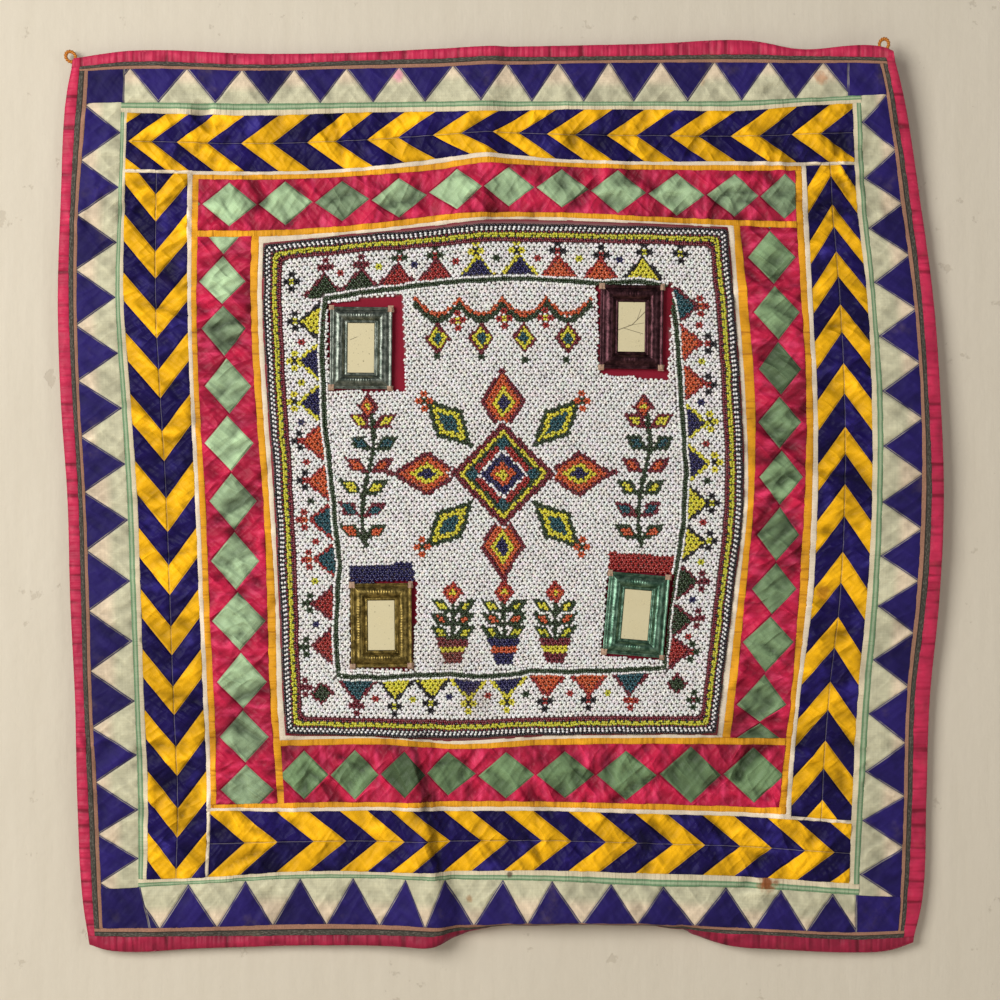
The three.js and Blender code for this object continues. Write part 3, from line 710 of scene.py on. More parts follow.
def finish_cloth(g, shader, color, roughness, weave=0.5, crumple=0.6, scale=60.0, fade=0.35,
                 soil=0.2, dip=None, sheen=0.15, gloss=0.25, deep=0.1, folds=None, fold_rise=8.0):
    """The common end of a cloth material: fading, weave, small creases, dips at seams, long folds
    and sheen. Creases and folds bend the light, and also paint shade into the colour in their
    hollows and a painted highlight on their ridges."""
    place = g.place()
    aged = g.use(AGE, "Color", {"Vector": place, "Color": color, "Fade": fade, "Soil": soil})
    threads, shade = g.use(WEAVE, ("Height", "Shade"), {"Vector": place})
    creases = g.use(CRUMPLE, "Height", {"Vector": place, "Scale": scale})
    # Painted shade in the hollows and painted highlight on the ridges of the relief, small creases and long
    # folds
    shadow = g.ramp(g.attribute("crease"), deep, 1.0)
    shadow = g.ramp(g.plus(creases, CRUMPLE_MEAN), crumple * 0.3, shadow)
    height = g.ramp(threads, 0.06 * weave, g.times(creases, crumple))
    if dip is not None:
        height = g.ramp(dip, 0.5, height)
    if folds is not None:
        shadow = g.ramp(g.plus(folds, FOLDS_MEAN), 1.5, shadow)
        height = g.ramp(folds, fold_rise, height)
    g.join(shader.inputs["Base Color"], g.toned(aged, g.times(shade, g.clamp(shadow, 0.4, 1.45))))
    g.join(shader.inputs["Roughness"], g.ramp(threads, 0.08, roughness))
    g.join(shader.inputs["Normal"], g.bump(height, 1.0, 0.001))
    shader.inputs["Specular IOR Level"].default_value = gloss
    shader.inputs["Sheen Weight"].default_value = sheen
    shader.inputs["Sheen Roughness"].default_value = 0.4


# Each value that a strip's points carry: its attribute, and its place in it
STRIP_VALUES = {
    "phase": ("pattern", 0), "share": ("pattern", 1), "third": ("pattern", 2),
    "along": ("measure", 0), "across": ("measure", 1), "width": ("measure", 2),
}


def strip_values(g, names):
    """Some values of a strip, by name: its pattern's phase, the share across and a third value of
    the band's own, and its measures along, across and of the whole width in millimetres."""
    found = []
    for name in names.split():
        label, place = STRIP_VALUES[name]
        found.append(g.add("SeparateXYZ", {0: g.attribute(label, "Vector")}, place))
    return found


def per_patch(g, number, amount):
    """A brightness for each patch, from a random number for its whole-number index."""
    roll = g.add("TexWhiteNoise", {"W": g.math("FLOOR", number)}, "Value", noise_dimensions="1D")
    return g.ramp(roll, amount, 1.0 - amount / 2)


def spot(right, down):
    """A place given by its pixel in the photograph, in metres."""
    return ((right - ORIGIN_RIGHT) * MM, 0.0, (ORIGIN_DOWN - down) * MM)


def long_folds(g, along, across, scale):
    """Long folds that lean both ways over a band: soft ridges where a stretched noise crosses its
    middle. The value is about -0.04 on a ridge and -0.4 in a hollow."""
    total = 0.0
    for lean, apart in ((0.7, 0.0), (-0.8, 30.0)):
        run = g.ramp(across, lean, along)
        side = g.ramp(along, -0.3 * lean, g.times(across, 0.3))
        wave = g.noise(g.add("CombineXYZ", {0: run, 1: side, 2: apart / scale}), scale, 2.0, 0.4)
        total = g.minus(total, g.ridge(wave, 0.0004))
    return total


def stained(g, color, blots):
    """Mixes blots into a colour: each has its pixel, radius, colour and strength."""
    flat = g.flat_place()
    for right, down, radius, tint, strength in blots:
        values = {"Vector": flat, "Middle": spot(right, down), "Radius": radius * MM}
        color = g.blend(g.times(g.use(STAIN, "Mask", values), strength), color, tint)
    return color


# Measures of the patterns, in millimetres and shares of their period. A slant turns a distance
# along the band into one square to a patch's seam.
CHEVRON_REACH = 38
CHEVRON_PERIOD = 62
CHEVRON_SLANT = 0.6
YELLOW_SHARE = 0.47
SAWTOOTH_PERIOD = 54
SAWTOOTH_SLANT = 0.78
DIAMOND_SPAN = 0.96
DIAMOND_RISE = 0.87
# From a diamond's middle square to its seam
DIAMOND_DEEP = 18.5

g, shader = new_material("crimson_binding")
along, across, under = strip_values(g, "along across third")
gathers = g.drawn(along, g.times(across, 0.08), 0.13, 1.5)
# Darker crimson in the gathers' hollows: painted shade
color = g.blend(g.step(gathers, 0.32, 0.47), "86142f", "c42a50")
# Darker along the bottom hem, where the binding turns under and away from the light: painted shade
color = g.toned(color, g.ramp(under, -0.38, 1.0))
finish_cloth(
    g, shader, color, 0.5, crumple=1.0, scale=75.0, dip=g.times(gathers, 10.0), sheen=0.1, deep=0.2)

g, shader = new_material("striped_edging")
share, along, across = strip_values(g, "share along across")
grey = g.drawn(g.times(along, 0.25), across, 1.1, 3.0, 0.7)
color = g.blend(g.step(grey, 0.45, 0.65), "403c34", "6e6a60")
color = g.blend(g.step(share, 0.5, 0.58), color, "a47862")
color = g.blend(g.below(g.apart(share, 0.54), 0.02, 0.09), color, "2c2a26")
ribs = g.drawn(along, g.times(across, 0.5), 0.8, 3.0, 0.7)
color = g.toned(color, g.ramp(ribs, 1.1, 0.45))
finish_cloth(g, shader, color, 0.8, crumple=0.5, scale=80.0, dip=g.times(ribs, 1.2), sheen=0.1)

g, shader = new_material("sawtooth_patchwork")
phase, share, corner, along, across = strip_values(g, "phase share third along across")
distance = g.minus(g.ramp(share, -0.5, 0.5), g.from_motif(phase))
distance = g.times(distance, SAWTOOTH_PERIOD * SAWTOOTH_SLANT)
distance = g.clamp(distance, corner, g.ramp(corner, -1.0, 1.0))
values = {"Distance": distance, "Line Width": 0.9}
inside, line, dip = g.use(SEAM_LINE, ("Inside", "Line", "Dip"), values)
worn = g.step(g.noise(g.place(), 60.0), 0.35, 0.6)
stitched = g.times(g.below(g.apart(distance, 1.1), 0.1, 0.6), g.ramp(worn, 0.45, 0.08))
navy = g.toned("221858", per_patch(g, g.plus(phase, 0.5), 0.5))
tip = g.plus(share, g.times(per_patch(g, g.plus(phase, 30.0), 0.9), 0.35))
sage = g.blend(g.step(tip, 0.62, 0.95), "e0ccb0", "c6c2a4")
threads = g.plus(g.drawn(along, g.times(across, 0.06), 0.9), g.drawn(g.times(along, 0.06), across, 0.5))
sage = g.toned(sage, g.ramp(threads, 0.28, 0.66))
sage = stained(g, sage, [
    (398, 74, 9, "e08aa8", 0.75), (821, 78, 9, "c88a60", 0.6), (700, 77, 9, "c79a72", 0.5),
    (767, 884, 11, "9a5a2a", 0.5), (470, 898, 5, "8a6038", 0.7), (300, 790, 12, "c8a888", 0.4)])
color = g.blend(inside, sage, navy)
color = g.blend(g.times(line, 0.3), color, "3c3648")
color = g.blend(stitched, color, "c9c0a4")
finish_cloth(
    g, shader, color, 0.6, crumple=0.8, scale=70.0, dip=g.times(dip, 1.4), sheen=0.0,
    gloss=0.15, deep=0.08, folds=long_folds(g, along, across, 0.05), fold_rise=5.0)

g, shader = new_material("sage_framing")
share, along, across = strip_values(g, "share along across")
color = g.blend(g.below(share, 0.5, 0.56), "ded0b0", "a6b794")
wander = g.drawn(along, 0.0, 0.08)
for offset in (0.05, 0.42):
    line = g.below(g.apart(share, g.ramp(wander, 0.08, offset)), 0.05, 0.12)
    color = g.blend(g.times(line, 0.8), color, "5f8a62")
pleat = g.drawn(along, g.times(across, 0.1), 0.35)
color = stained(g, color, [
    (767, 884, 13, "8a4a20", 0.95), (485, 888, 6, "4a7a3a", 0.9), (145, 640, 7, "6a6a50", 0.7),
    (143, 615, 5, "7a7a58", 0.6), (470, 890, 6, "8a7048", 0.6), (510, 874, 4, "4a3428", 0.8)])
finish_cloth(g, shader, color, 0.75, scale=85.0, dip=g.times(pleat, 3.0), sheen=0.1)

g, shader = new_material("chevron_satin")
phase, share, corner, along, across, width = strip_values(g, "phase share third along across width")
turn = g.math("FRACT", phase)
half_navy = (1 - YELLOW_SHARE) / 2
to_middle = g.math("MINIMUM", g.apart(turn, 1 - half_navy), g.math("ABSOLUTE", g.plus(turn, half_navy)))
distance = g.times(g.minus(half_navy, to_middle), CHEVRON_PERIOD * CHEVRON_SLANT)
inside, dip = g.use(SEAM_LINE, ("Inside", "Dip"), {"Distance": distance})
patch = g.plus(phase, g.times(g.math("GREATER_THAN", share, 0.5), 40.0))
yellow = g.toned("ecb012", per_patch(g, patch, 0.22))
yellow = stained(g, yellow, [(823, 593, 10, "b06a20", 0.6)])
# Lighter navy in soft patches: painted sheen of the satin
sheen = g.step(g.noise(g.place(), 38.0, 2.0, 0.6), 0.5, 0.72)
navy = g.blend(g.times(sheen, 0.7), "180e48", "32297a")
navy = g.toned(navy, per_patch(g, g.minus(patch, YELLOW_SHARE), 0.7))
color = g.blend(inside, yellow, navy)
middle = g.math("ABSOLUTE", g.times(g.minus(share, 0.5), width))
color = g.blend(g.times(g.below(middle, 0.1, 0.55), 0.4), color, "8f8a8a")
color = g.blend(g.below(corner, 3.0, 3.5), color, "e6d6bc")
dip = g.minus(dip, g.below(middle, 0.0, 1.5))
dip = g.minus(dip, g.below(g.apart(corner, 3.4), 0.0, 1.4))
finish_cloth(
    g, shader, color, 0.5, weave=0.3, crumple=1.0, dip=g.times(dip, 1.6), fade=0.3, soil=0.06,
    sheen=0.0, gloss=0.12, deep=0.19, folds=long_folds(g, along, across, 0.05), fold_rise=12.0)

g, shader = new_material("crimson_satin")
phase, share, pale, along, across = strip_values(g, "phase share third along across")
# Each diamond sits a little off the middle and has its own height
drift = per_patch(g, g.plus(phase, 20.5), 0.18)
tall = per_patch(g, g.plus(phase, 70.5), 0.16)
rise = g.times(g.apart(g.times(share, 2.0), drift), g.times(tall, 1 / DIAMOND_RISE))
reach = g.ramp(g.from_motif(phase), 2.0 / DIAMOND_SPAN, rise)
distance = g.times(g.minus(1.0, reach), DIAMOND_DEEP)
values = {"Distance": distance, "Line Width": 0.6}
inside, line, dip = g.use(SEAM_LINE, ("Inside", "Line", "Dip"), values)
green = g.blend(pale, "5c7450", "98b08a")
green = g.toned(green, per_patch(g, g.plus(phase, 0.5), 0.8))
half = g.math("GREATER_THAN", share, 0.5)
pink = g.toned("ac1a3c", per_patch(g, g.ramp(half, 50.0, phase), 0.5))
# Lighter pink streaks: painted sheen of the satin
sheen_streaks = g.drawn(along, g.times(across, 0.3), 0.12, 3.0)
pink = g.blend(g.step(sheen_streaks, 0.45, 0.75), pink, "d0365f")
color = g.blend(inside, pink, green)
color = g.blend(g.times(line, 0.3), color, "6a2a3a")
finish_cloth(
    g, shader, color, 0.5, weave=0.3, crumple=1.0, dip=g.times(dip, 1.8), fade=0.4, soil=0.04,
    sheen=0.0, gloss=0.2, deep=0.23, folds=long_folds(g, along, across, 0.045), fold_rise=17.0)

g, shader = new_material("cream_cotton")
share, along = strip_values(g, "share along")
# A dashed line of stitches: near the middle of the strip, and on for a share of each pitch
on = g.math("LESS_THAN", g.math("FRACT", g.math("DIVIDE", along, 3.4)), 0.6)
stitch = g.times(g.below(g.apart(share, 0.5), 0.06, 0.41), on)
color = g.blend(g.times(stitch, 0.15), "ecdcc4", "b09a80")
finish_cloth(g, shader, color, 0.8, crumple=0.7, scale=90.0, soil=0.25)

g, shader = new_material("yellow_cotton")
along, across = strip_values(g, "along across")
puckers = g.drawn(along, g.times(across, 0.12), 0.19)
# Darker yellow in the puckers' hollows: painted shade
color = g.blend(g.step(puckers, 0.3, 0.46), "b87410", "e8a21a")
finish_cloth(
    g, shader, color, 0.6, crumple=0.8, scale=90.0, dip=g.times(puckers, 6.0), soil=0.1, sheen=0.1)

g, shader = new_material("maroon_cotton")
# Grey under the net, where the cloth is maroon, stands for the net's thread and the shade between the
# beads: partly painted shade. The windows and the edge are maroon.
color = g.blend(g.attribute("window"), "8c8480", "880e28")
finish_cloth(g, shader, color, 0.75, crumple=0.5, soil=0.05)

g, shader = new_material("glass_beads")
place = g.place()
dust = g.step(g.noise(place, 60.0, 3.0), 0.5, 0.85)
color = g.blend(g.times(dust, 0.1), g.attribute("bead_tint", "Color"), "9a9284")
g.join(shader.inputs["Base Color"], color)
g.join(shader.inputs["Roughness"], g.ramp(g.noise(place, 420.0), 0.25, 0.12))
g.join(shader.inputs["Normal"], g.bump(g.noise(place, 1500.0), 0.25, 0.0003))
shader.inputs["Coat Weight"].default_value = 0.3
shader.inputs["Coat Roughness"].default_value = 0.15


def tin(name, dark, light, tarnish, roughness):
    """Pressed metal: a worn tone between a dark and a light one, spots of tarnish, fine scratches
    and small dents."""
    g, shader = new_material(name)
    place = g.place()
    wear = g.noise(place, 190.0, 3.0, 0.6)
    spots = g.step(g.noise(place, 500.0, 3.0), 0.62, 0.72)
    scratches = g.noise(place, 2600.0)
    color = g.blend(g.step(wear, 0.35, 0.7), dark, light)
    g.join(shader.inputs["Base Color"], g.blend(g.times(spots, 0.5), color, tarnish))
    g.join(shader.inputs["Roughness"], g.ramp(scratches, 0.1, g.ramp(wear, 0.2, roughness)))
    g.join(shader.inputs["Normal"], g.bump(g.ramp(scratches, 0.08, g.times(wear, 0.7)), 0.6, 0.0006))
    shader.inputs["Metallic"].default_value = 0.9


tin("pewter_tin", "4c544c", "868c82", "20261f", 0.22)
tin("maroon_tin", "2c171b", "58363c", "180a08", 0.26)
tin("brass_tin", "564822", "9a8448", "3a2c16", 0.24)
tin("green_tin", "3c5c4a", "7a9a84", "1c3024", 0.22)

g, shader = new_material("mirror_glass")
place = g.place()
specks = g.step(g.noise(place, 420.0, 3.0, 0.7), 0.64, 0.72)
cloud = g.noise(place, 60.0, 3.0)
# The pale straw tone stands for the pale wall that the mirror reflects: painted reflection. The specks and
# scratches are the glass's own.
color = g.blend(g.times(cloud, 0.3), "ece0b8", "c8b884")
color = g.blend(g.times(specks, 0.75), color, "4a4028")
# Branching scratches on the upper right glass: from and to in pixels, and half a width
flat = g.flat_place()
for ax, ay, bx, by, half_width in (
        (618, 330, 632, 325, 0.55), (632, 325, 645, 312, 0.55), (623, 328, 643, 334, 0.4),
        (637, 320, 641, 309, 0.35), (632, 325, 644, 323, 0.3), (350, 340, 357, 337, 0.4)):
    values = {"Vector": flat, "From": spot(ax, ay), "To": spot(bx, by), "Half Width": half_width * MM}
    color = g.blend(g.times(g.use(STROKE, "Mask", values), 0.8), color, "4a3c2c")
g.join(shader.inputs["Base Color"], color)
g.join(shader.inputs["Roughness"], g.ramp(cloud, 0.15, 0.18))
shader.inputs["Metallic"].default_value = 0.2

g, shader = new_material("loop_thread")
color = g.blend(g.attribute("twist"), "e0903a", "a8601c")
finish_cloth(g, shader, color, 0.85, crumple=0.4, scale=200.0)

g, shader = new_material("peach_cotton")
color = g.blend(g.noise(g.place(), 500.0), "94705c", "d0b298")
finish_cloth(g, shader, color, 0.85, crumple=0.8, scale=220.0)

# Where each band's motifs stand along its side: yellow points, navy points and diamonds, as the
# distance right of the middle on the top and bottom and as drops on the left and right
CHEVRONS = {
    "top": [-372, -324, -259, -193, -133, -67, -7, 47, 107, 170, 231, 292],
    "left": [175, 232, 292, 352, 415, 486, 549, 609, 669, 730, 792, 852],
    "bottom": [-223, -154, -95, -50, 9, 71, 137, 205, 272, 335],
    "right": [104, 158, 205, 258, 317, 381, 438, 506, 571, 636, 695, 754],
}
SAWTEETH = {
    "top": [-342, -285, -232, -180, -127, -75, -19, 32, 84, 134, 188, 242, 296],
    "left": [86, 141, 196, 251, 307, 362, 418, 474, 535, 595, 655, 709, 764, 813],
    "bottom": [-312, -255, -200, -147, -94, -55, 3, 52, 111, 163, 226, 281, 333],
    "right": [77, 132, 182, 236, 290, 345, 400, 456, 510, 560, 614, 668, 726, 775, 829],
}
DIAMONDS = {
    "top": [-271, -215, -158, -101, -43, 9, 62, 118, 177, 235, 285],
    "left": [182, 235, 282, 340, 397, 455, 515, 575, 636, 691, 744],
    "bottom": [-196, -145, -95, -52, 6, 65, 126, 191, 254],
    "right": [211, 266, 323, 376, 431, 489, 543, 596, 659, 694],
}
# How pale the green of the diamonds is on each side: palest on the left and top, darkest at the bottom
PALE_GREEN = {"top": 0.75, "right": 0.2, "bottom": 0.05, "left": 0.85}
# The way the chevrons point along each side: 1 to smaller places, -1 to larger ones
POINTING = {"top": 1, "right": 1, "left": -1, "bottom": -1}
# A distance from the piping that is past its reach
NO_PIPING = 50


def phase_at(places, at):
    """Counts motifs along a side, a whole number on each, and goes on past the ends evenly."""
    first, last = places[1] - places[0], places[-1] - places[-2]
    rows = [places[0] - 2 * first, places[0] - first, *places, places[-1] + last, places[-1] + 2 * last]
    return np.interp(at, rows, np.arange(len(rows)))


def from_motif(phase):
    """How far a phase is from the nearest whole number."""
    return np.abs((phase + 0.5) % 1 - 0.5)


def crinkles(grid, seed, rise, fine):
    """Relief in millimetres that every strip has: the creases and soft ripples that run on over
    its seams, small ripples of its own, and gathers at both seams that fade inwards."""
    at, across = grid["at"], grid["share"] * grid["breadth"]
    x, z = grid["points"][..., 0], grid["points"][..., 2]
    edge = np.maximum(np.minimum(across, grid["breadth"] - across), 0)
    soft = ripple(x / 17 + 40, z / 17 + 80, 9) * 0.6 + creased(x, z)
    own = ripple(at / 12 + 7, across / 18 + 3, seed) * rise + ripple(at / 6.4, across / 9, seed + 1) * fine
    gathers = ripple(at / 6.4 + 5, across / 60, seed + 2) * fine * np.exp(-edge / 7)
    dip = np.exp(-((edge / 1.7) ** 2))
    return soft + (own + gathers) * (1 - 0.7 * dip) - 0.6 * dip


def strip_piece(ring, side, number):
    """One strip as a thin closed sheet on its solid's folds, with its patches' relief, its
    pattern and its measures."""
    name, outer, inner, ends, material, rise, fine, motifs = ring
    grid = strip_grid(side, outer, inner, *ends[side])
    at, share, breadth = grid["at"], grid["share"], grid["breadth"]
    rising, falling = at + breadth * share, at - breadth * share
    relief = crinkles(grid, 40 + 9 * number, rise, fine)
    turned_under = name == "binding" and side == "bottom"
    phase = at
    # The bottom binding's third value darkens its colour: painted shade where it turns under
    third = np.full_like(at, float(turned_under))
    if motifs is CHEVRONS:
        fold = np.abs(2 * share - 1)
        phase = phase_at(motifs[side], at - POINTING[side] * CHEVRON_REACH * fold) * POINTING[side]
        turn = phase - np.floor(phase)
        to_seam = np.minimum(np.minimum(turn, 1 - turn), np.abs(turn - YELLOW_SHARE))
        to_seam *= CHEVRON_PERIOD * CHEVRON_SLANT
        relief -= 0.5 * np.exp(-((to_seam / 2.4) ** 2))
        relief -= 0.4 * np.exp(-((fold * breadth / 2 / 2.2) ** 2))
        relief += 0.35 * ripple(rising / 10, falling / 24, 77 + number)
        # The piping lies at a strip's start, at both ends on the right, and nowhere on the top
        third = {"top": NO_PIPING + 0 * at, "right": np.minimum(grid["start"], grid["end"])}
        third = third.get(side, grid["start"])
    elif motifs is DIAMONDS:
        phase = phase_at(motifs[side], at)
        third = np.full_like(at, PALE_GREEN[side])
        inside = 1 - from_motif(phase) * 2 / DIAMOND_SPAN - np.abs(2 * share - 1) / DIAMOND_RISE
        relief -= 0.5 * np.exp(-((inside * DIAMOND_DEEP / 2.4) ** 2))
        relief += 0.6 * ripple(rising / 12, falling / 26, 87 + number)
        relief += 0.5 * ripple(falling / 11, rising / 33, 88 + number)
    elif motifs is SAWTEETH:
        phase = phase_at(motifs[side], at)
        inside = (0.5 - 0.5 * share - from_motif(phase)) * SAWTOOTH_PERIOD * SAWTOOTH_SLANT
        relief -= 0.4 * np.exp(-((inside / 2.0) ** 2))
        low, high = {"top": (-376, 347), "bottom": (-350 - 10 * share, 356)}.get(side, (-2000, 2000))
        third = np.maximum(low - at, at - high)
    through = grid["through"]
    front = grid["points"] - through * relief[..., None]
    thick = np.full_like(at, SHEET)
    if name == "binding":
        rolled = np.exp(-((share * breadth / 1.6) ** 2))
        front = front + through * (0.9 * rolled)[..., None]
        thick = CLOTH - 1.5 * rolled + relief
    back = front + through * thick[..., None]
    pattern, measure = np.stack([phase, share, third], -1), np.stack([at, share * breadth, breadth], -1)
    attributes = {
        # The relief, which the materials also use for painted shade in its hollows and painted highlight on
        # its crests
        "crease": ("FLOAT", "value", twice(relief[..., None])),
        "pattern": ("FLOAT_VECTOR", "vector", twice(pattern)),
        "measure": ("FLOAT_VECTOR", "vector", twice(measure)),
    }
    node = f"{name}_{side}"
    piece = mesh_piece("cloth_" + node, *closed_sheet(front, back), material, attributes)
    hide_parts(node)


def all_ends(top, right, bottom, left):
    return {"top": top, "right": right, "bottom": bottom, "left": left}


def same(level, upright):
    """Ends where the level strips run the full width and the upright ones lie between them."""
    return all_ends((level, level), (upright, upright), (level, level), (upright, upright))


# Rings of strips from the outside in: the name, outer and inner seam, the neighbours' seams at
# which each side's strip ends, the material, the rise of its soft and its small ripples, and motifs
inner_ends = all_ends(
    ("diamond_out", "diamond_out"), ("yellow_in", "yellow_in"),
    ("yellow_in", "diamond_out"), ("yellow_in", "diamond_out"))
chevron_ends = all_ends(
    ("chevron_out", "chevron_out"), ("chevron_in", "chevron_in"),
    ("chevron_in", "chevron_out"), ("chevron_in", "chevron_out"))
RINGS = [
    ("binding", "edge", "binding", same("edge", "binding"), "crimson_binding", 0.5, 0.7, None),
    ("edging", "binding", "sawtooth", same("binding", "sawtooth"), "striped_edging", 0.4, 0.3, None),
    ("sawtooth", "sawtooth", "frame", same("sawtooth", "frame"), "sawtooth_patchwork", 0.6, 0.35, SAWTEETH),
    ("frame", "frame", "chevron_out", same("frame", "chevron_out"), "sage_framing", 0.4, 0.35, None),
    ("chevron", "chevron_out", "chevron_in", chevron_ends, "chevron_satin", 0.7, 0.4, CHEVRONS),
    ("cream", "chevron_in", "cream_in", same("chevron_in", "cream_in"), "cream_cotton", 0.4, 0.3, None),
    ("yellow_outer", "cream_in", "diamond_out", same("cream_in", "diamond_out"),
     "yellow_cotton", 0.4, 0.4, None),
    ("diamond", "diamond_out", "diamond_in", inner_ends, "crimson_satin", 0.9, 0.55, DIAMONDS),
    ("yellow_inner", "diamond_in", "yellow_in", inner_ends, "yellow_cotton", 0.4, 0.4, None),
    ("cream_inner", "yellow_in", "ground", same("yellow_in", "ground"), "cream_cotton", 0.3, 0.3, None),
]
for k, ring in enumerate(RINGS):
    for j, side in enumerate(("top", "right", "bottom", "left")):
        strip_piece(ring, side, 4 * k + j)


# A first guess at the height of any place on the panel
PANEL_MIDDLE = -450


def panel_place(u, v, name, inset=PANEL_INSET):
    """Where shares across and down a four-sided panel fall: x between its left and right seam at
    that height, z between its top and bottom seam at that x, found by going to and fro."""
    x, z = 0.0 * u, 0.0 * v + PANEL_MIDDLE
    for _ in range(ROUNDS):
        left, right = seam("left", name, -z) + inset, seam("right", name, -z) - inset
        x = left + (right - left) * u
        top, bottom = seam("top", name, x) - inset, seam("bottom", name, x) + inset
        z = top + (bottom - top) * v
    return x, z


def in_corners(x, z, corners):
    """True inside a four-cornered window given by its pixels, clockwise as seen."""
    right, down = x + ORIGIN_RIGHT, ORIGIN_DOWN - z
    within = np.ones(np.shape(x), bool)
    for (ax, ay), (bx, by) in zip(corners, corners[1:] + corners[:1]):
        within &= (bx - ax) * (down - ay) - (by - ay) * (right - ax) > 0
    return within


# The windows in the net at the mirrors, in pixels, clockwise from their upper left corner
WINDOWS = [
    [(327, 303), (402, 294), (406, 391), (330, 391)],
    [(597, 285), (673, 287), (668, 380), (599, 374)],
    [(350, 583), (417, 581), (414, 668), (351, 668)],
    [(609, 570), (674, 575), (664, 660), (601, 655)],
]

# The ground cloth shows full red in the windows, a little past their edges, and at its own edge
GROUND_WIDE = 455
GROUND_HIGH = 505
RED_EDGE = 4
WINDOW_GROWTH = 1.1

u, v = np.meshgrid(np.linspace(0, 1, 69), np.linspace(0, 1, 76))
x, z = panel_place(u, v, "ground", PANEL_INSET - 1.0)
front, through = facing(x, z, -GAP)
front[..., 1] += 0.25 * ripple(x / 9 + 60, z / 9 + 120, 5) + 0.25
to_edge = [u * GROUND_WIDE, (1 - u) * GROUND_WIDE, v * GROUND_HIGH, (1 - v) * GROUND_HIGH]
red = np.minimum.reduce(to_edge) < RED_EDGE
for corners in WINDOWS:
    middle = np.mean(corners, axis=0)
    red |= in_corners(x, z, [tuple(middle + (np.array(c) - middle) * WINDOW_GROWTH) for c in corners])
ground = mesh_piece(
    "cloth_ground", *closed_sheet(front, front + through * SHEET), "maroon_cotton",
    {"window": ("FLOAT", "value", twice(red[..., None].astype(float)))})
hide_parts("ground_cloth")

# The bead net: cells on a staggered grid, in millimetres on the flat net
CELL_WIDE = 5.0
CELL_HIGH = 3.7
CELLS = (91, 136)
NET_WIDE = CELLS[0] * CELL_WIDE
NET_HIGH = CELLS[1] * CELL_HIGH
BEAD_LONG = 2.9
BEAD_RADIUS = 1.5
# How far the six beads round a hole lie from its middle, at most
RING_REACH = 2.9
# Where the netted middle ends: how far in from the panel's edge, and its corners' radius
NET_INSET = 17.6
NET_CORNER = 7.5
# Half the room that the net leaves for the ropes of the frame line
ROPE_HALF = 4.5
BEAD_TINTS = {
    "white": "eceae8", "maroon": "6e1c2a", "green": "2a3c20", "lime": "c4c034", "orange": "c4562c",
    "navy": "221f50", "teal": "22505a", "yellow": "d6cc3a", "black": "17131c", "red": "9a2a26",
}
TINT_NAMES = list(BEAD_TINTS)
# The rows along the net's edge: how far in, how many beads, the corner's radius, the tints in
# turn and the slant in degrees
EDGE_ROWS = [
    (1.0, 820, 2.0, ("black",), 0), (3.2, 816, 2.5, ("white", "black"), 90),
    (5.4, 816, 3.0, ("white", "black"), 90), (7.6, 800, 3.5, ("black", "maroon"), 0),
    (9.7, 880, 4.0, ("lime",), 40), (11.8, 880, 4.5, ("lime", "lime", "lime", "green"), -40),
    (13.9, 800, 5.5, ("maroon", "maroon", "black"), 0), (15.9, 800, 6.5, ("maroon",), 0),
]


def to_panel(a, b, heading):
    """Places of flat beads on the panel, and their headings turned with the net there."""
    u, v = a / NET_WIDE, b / NET_HIGH
    x, z = panel_place(u, v, "beads")
    ahead_x, ahead_z = panel_place(u + 0.002, v, "beads")
    return x, z, heading + np.arctan2(ahead_z - z, ahead_x - x)


def edge_row(inset, count, radius, names, slant):
    """Beads along a rectangle with round corners: its line is laid out as four quarter circles,
    and the beads stand at even steps of the length along it."""
    turns = np.linspace(0, math.pi / 2, 9) + (np.arange(4)[:, None] - 1) * math.pi / 2
    far_a, far_b = NET_WIDE - inset - radius, NET_HIGH - inset - radius
    near = inset + radius
    centres = np.array([(far_a, near), (far_a, far_b), (near, far_b), (near, near)])
    a = (centres[:, :1] + radius * np.cos(turns)).ravel()
    b = (centres[:, 1:] + radius * np.sin(turns)).ravel()
    a, b = np.append(a, a[0]), np.append(b, b[0])
    length = lengths(a, b)
    at = np.arange(count) * length[-1] / count
    row_a, row_b = np.interp(at, length, a), np.interp(at, length, b)
    next_a, next_b = np.interp(at + 0.5, length, a), np.interp(at + 0.5, length, b)
    heading = np.arctan2(row_b - next_b, next_a - row_a) + math.radians(slant)
    tints = np.array([TINT_NAMES.index(name) for name in names])[np.arange(count) % len(names)]
    return (*to_panel(row_a, row_b, heading), tints)


# The inner frame line on each side: places along it and where it lies there, in pixels
FRAME_LINE = {
    "top": [(325, 298), (360, 293), (400, 288), (450, 282), (495, 279), (530, 279), (565, 281),
            (600, 283), (640, 281), (668, 287)],
    "right": [(287, 668), (304, 673), (330, 677), (381, 680), (441, 684), (472, 686), (497, 685),
              (523, 683), (547, 680), (564, 677), (582, 673), (625, 668), (668, 664)],
    "bottom": [(339, 675), (352, 677), (382, 677), (410, 675), (450, 674), (480, 676), (510, 674),
               (530, 671), (570, 671), (622, 670), (664, 668)],
    "left": [(298, 325), (320, 323), (341, 322), (380, 323), (426, 325), (460, 329), (495, 333),
             (529, 336), (540, 337), (565, 340), (586, 338), (611, 337), (632, 336), (675, 339)],
}
AWAY = {"top": (0, -1), "right": (1, 0), "bottom": (0, 1), "left": (-1, 0)}
# The ropes of beads on the line: how far out, the tint and the slant in degrees
ROPES = ((-3.3, "white", 20), (-1.1, "green", 35), (1.1, "green", -35), (3.3, "white", -20))
ROPE_PITCH = 2.15


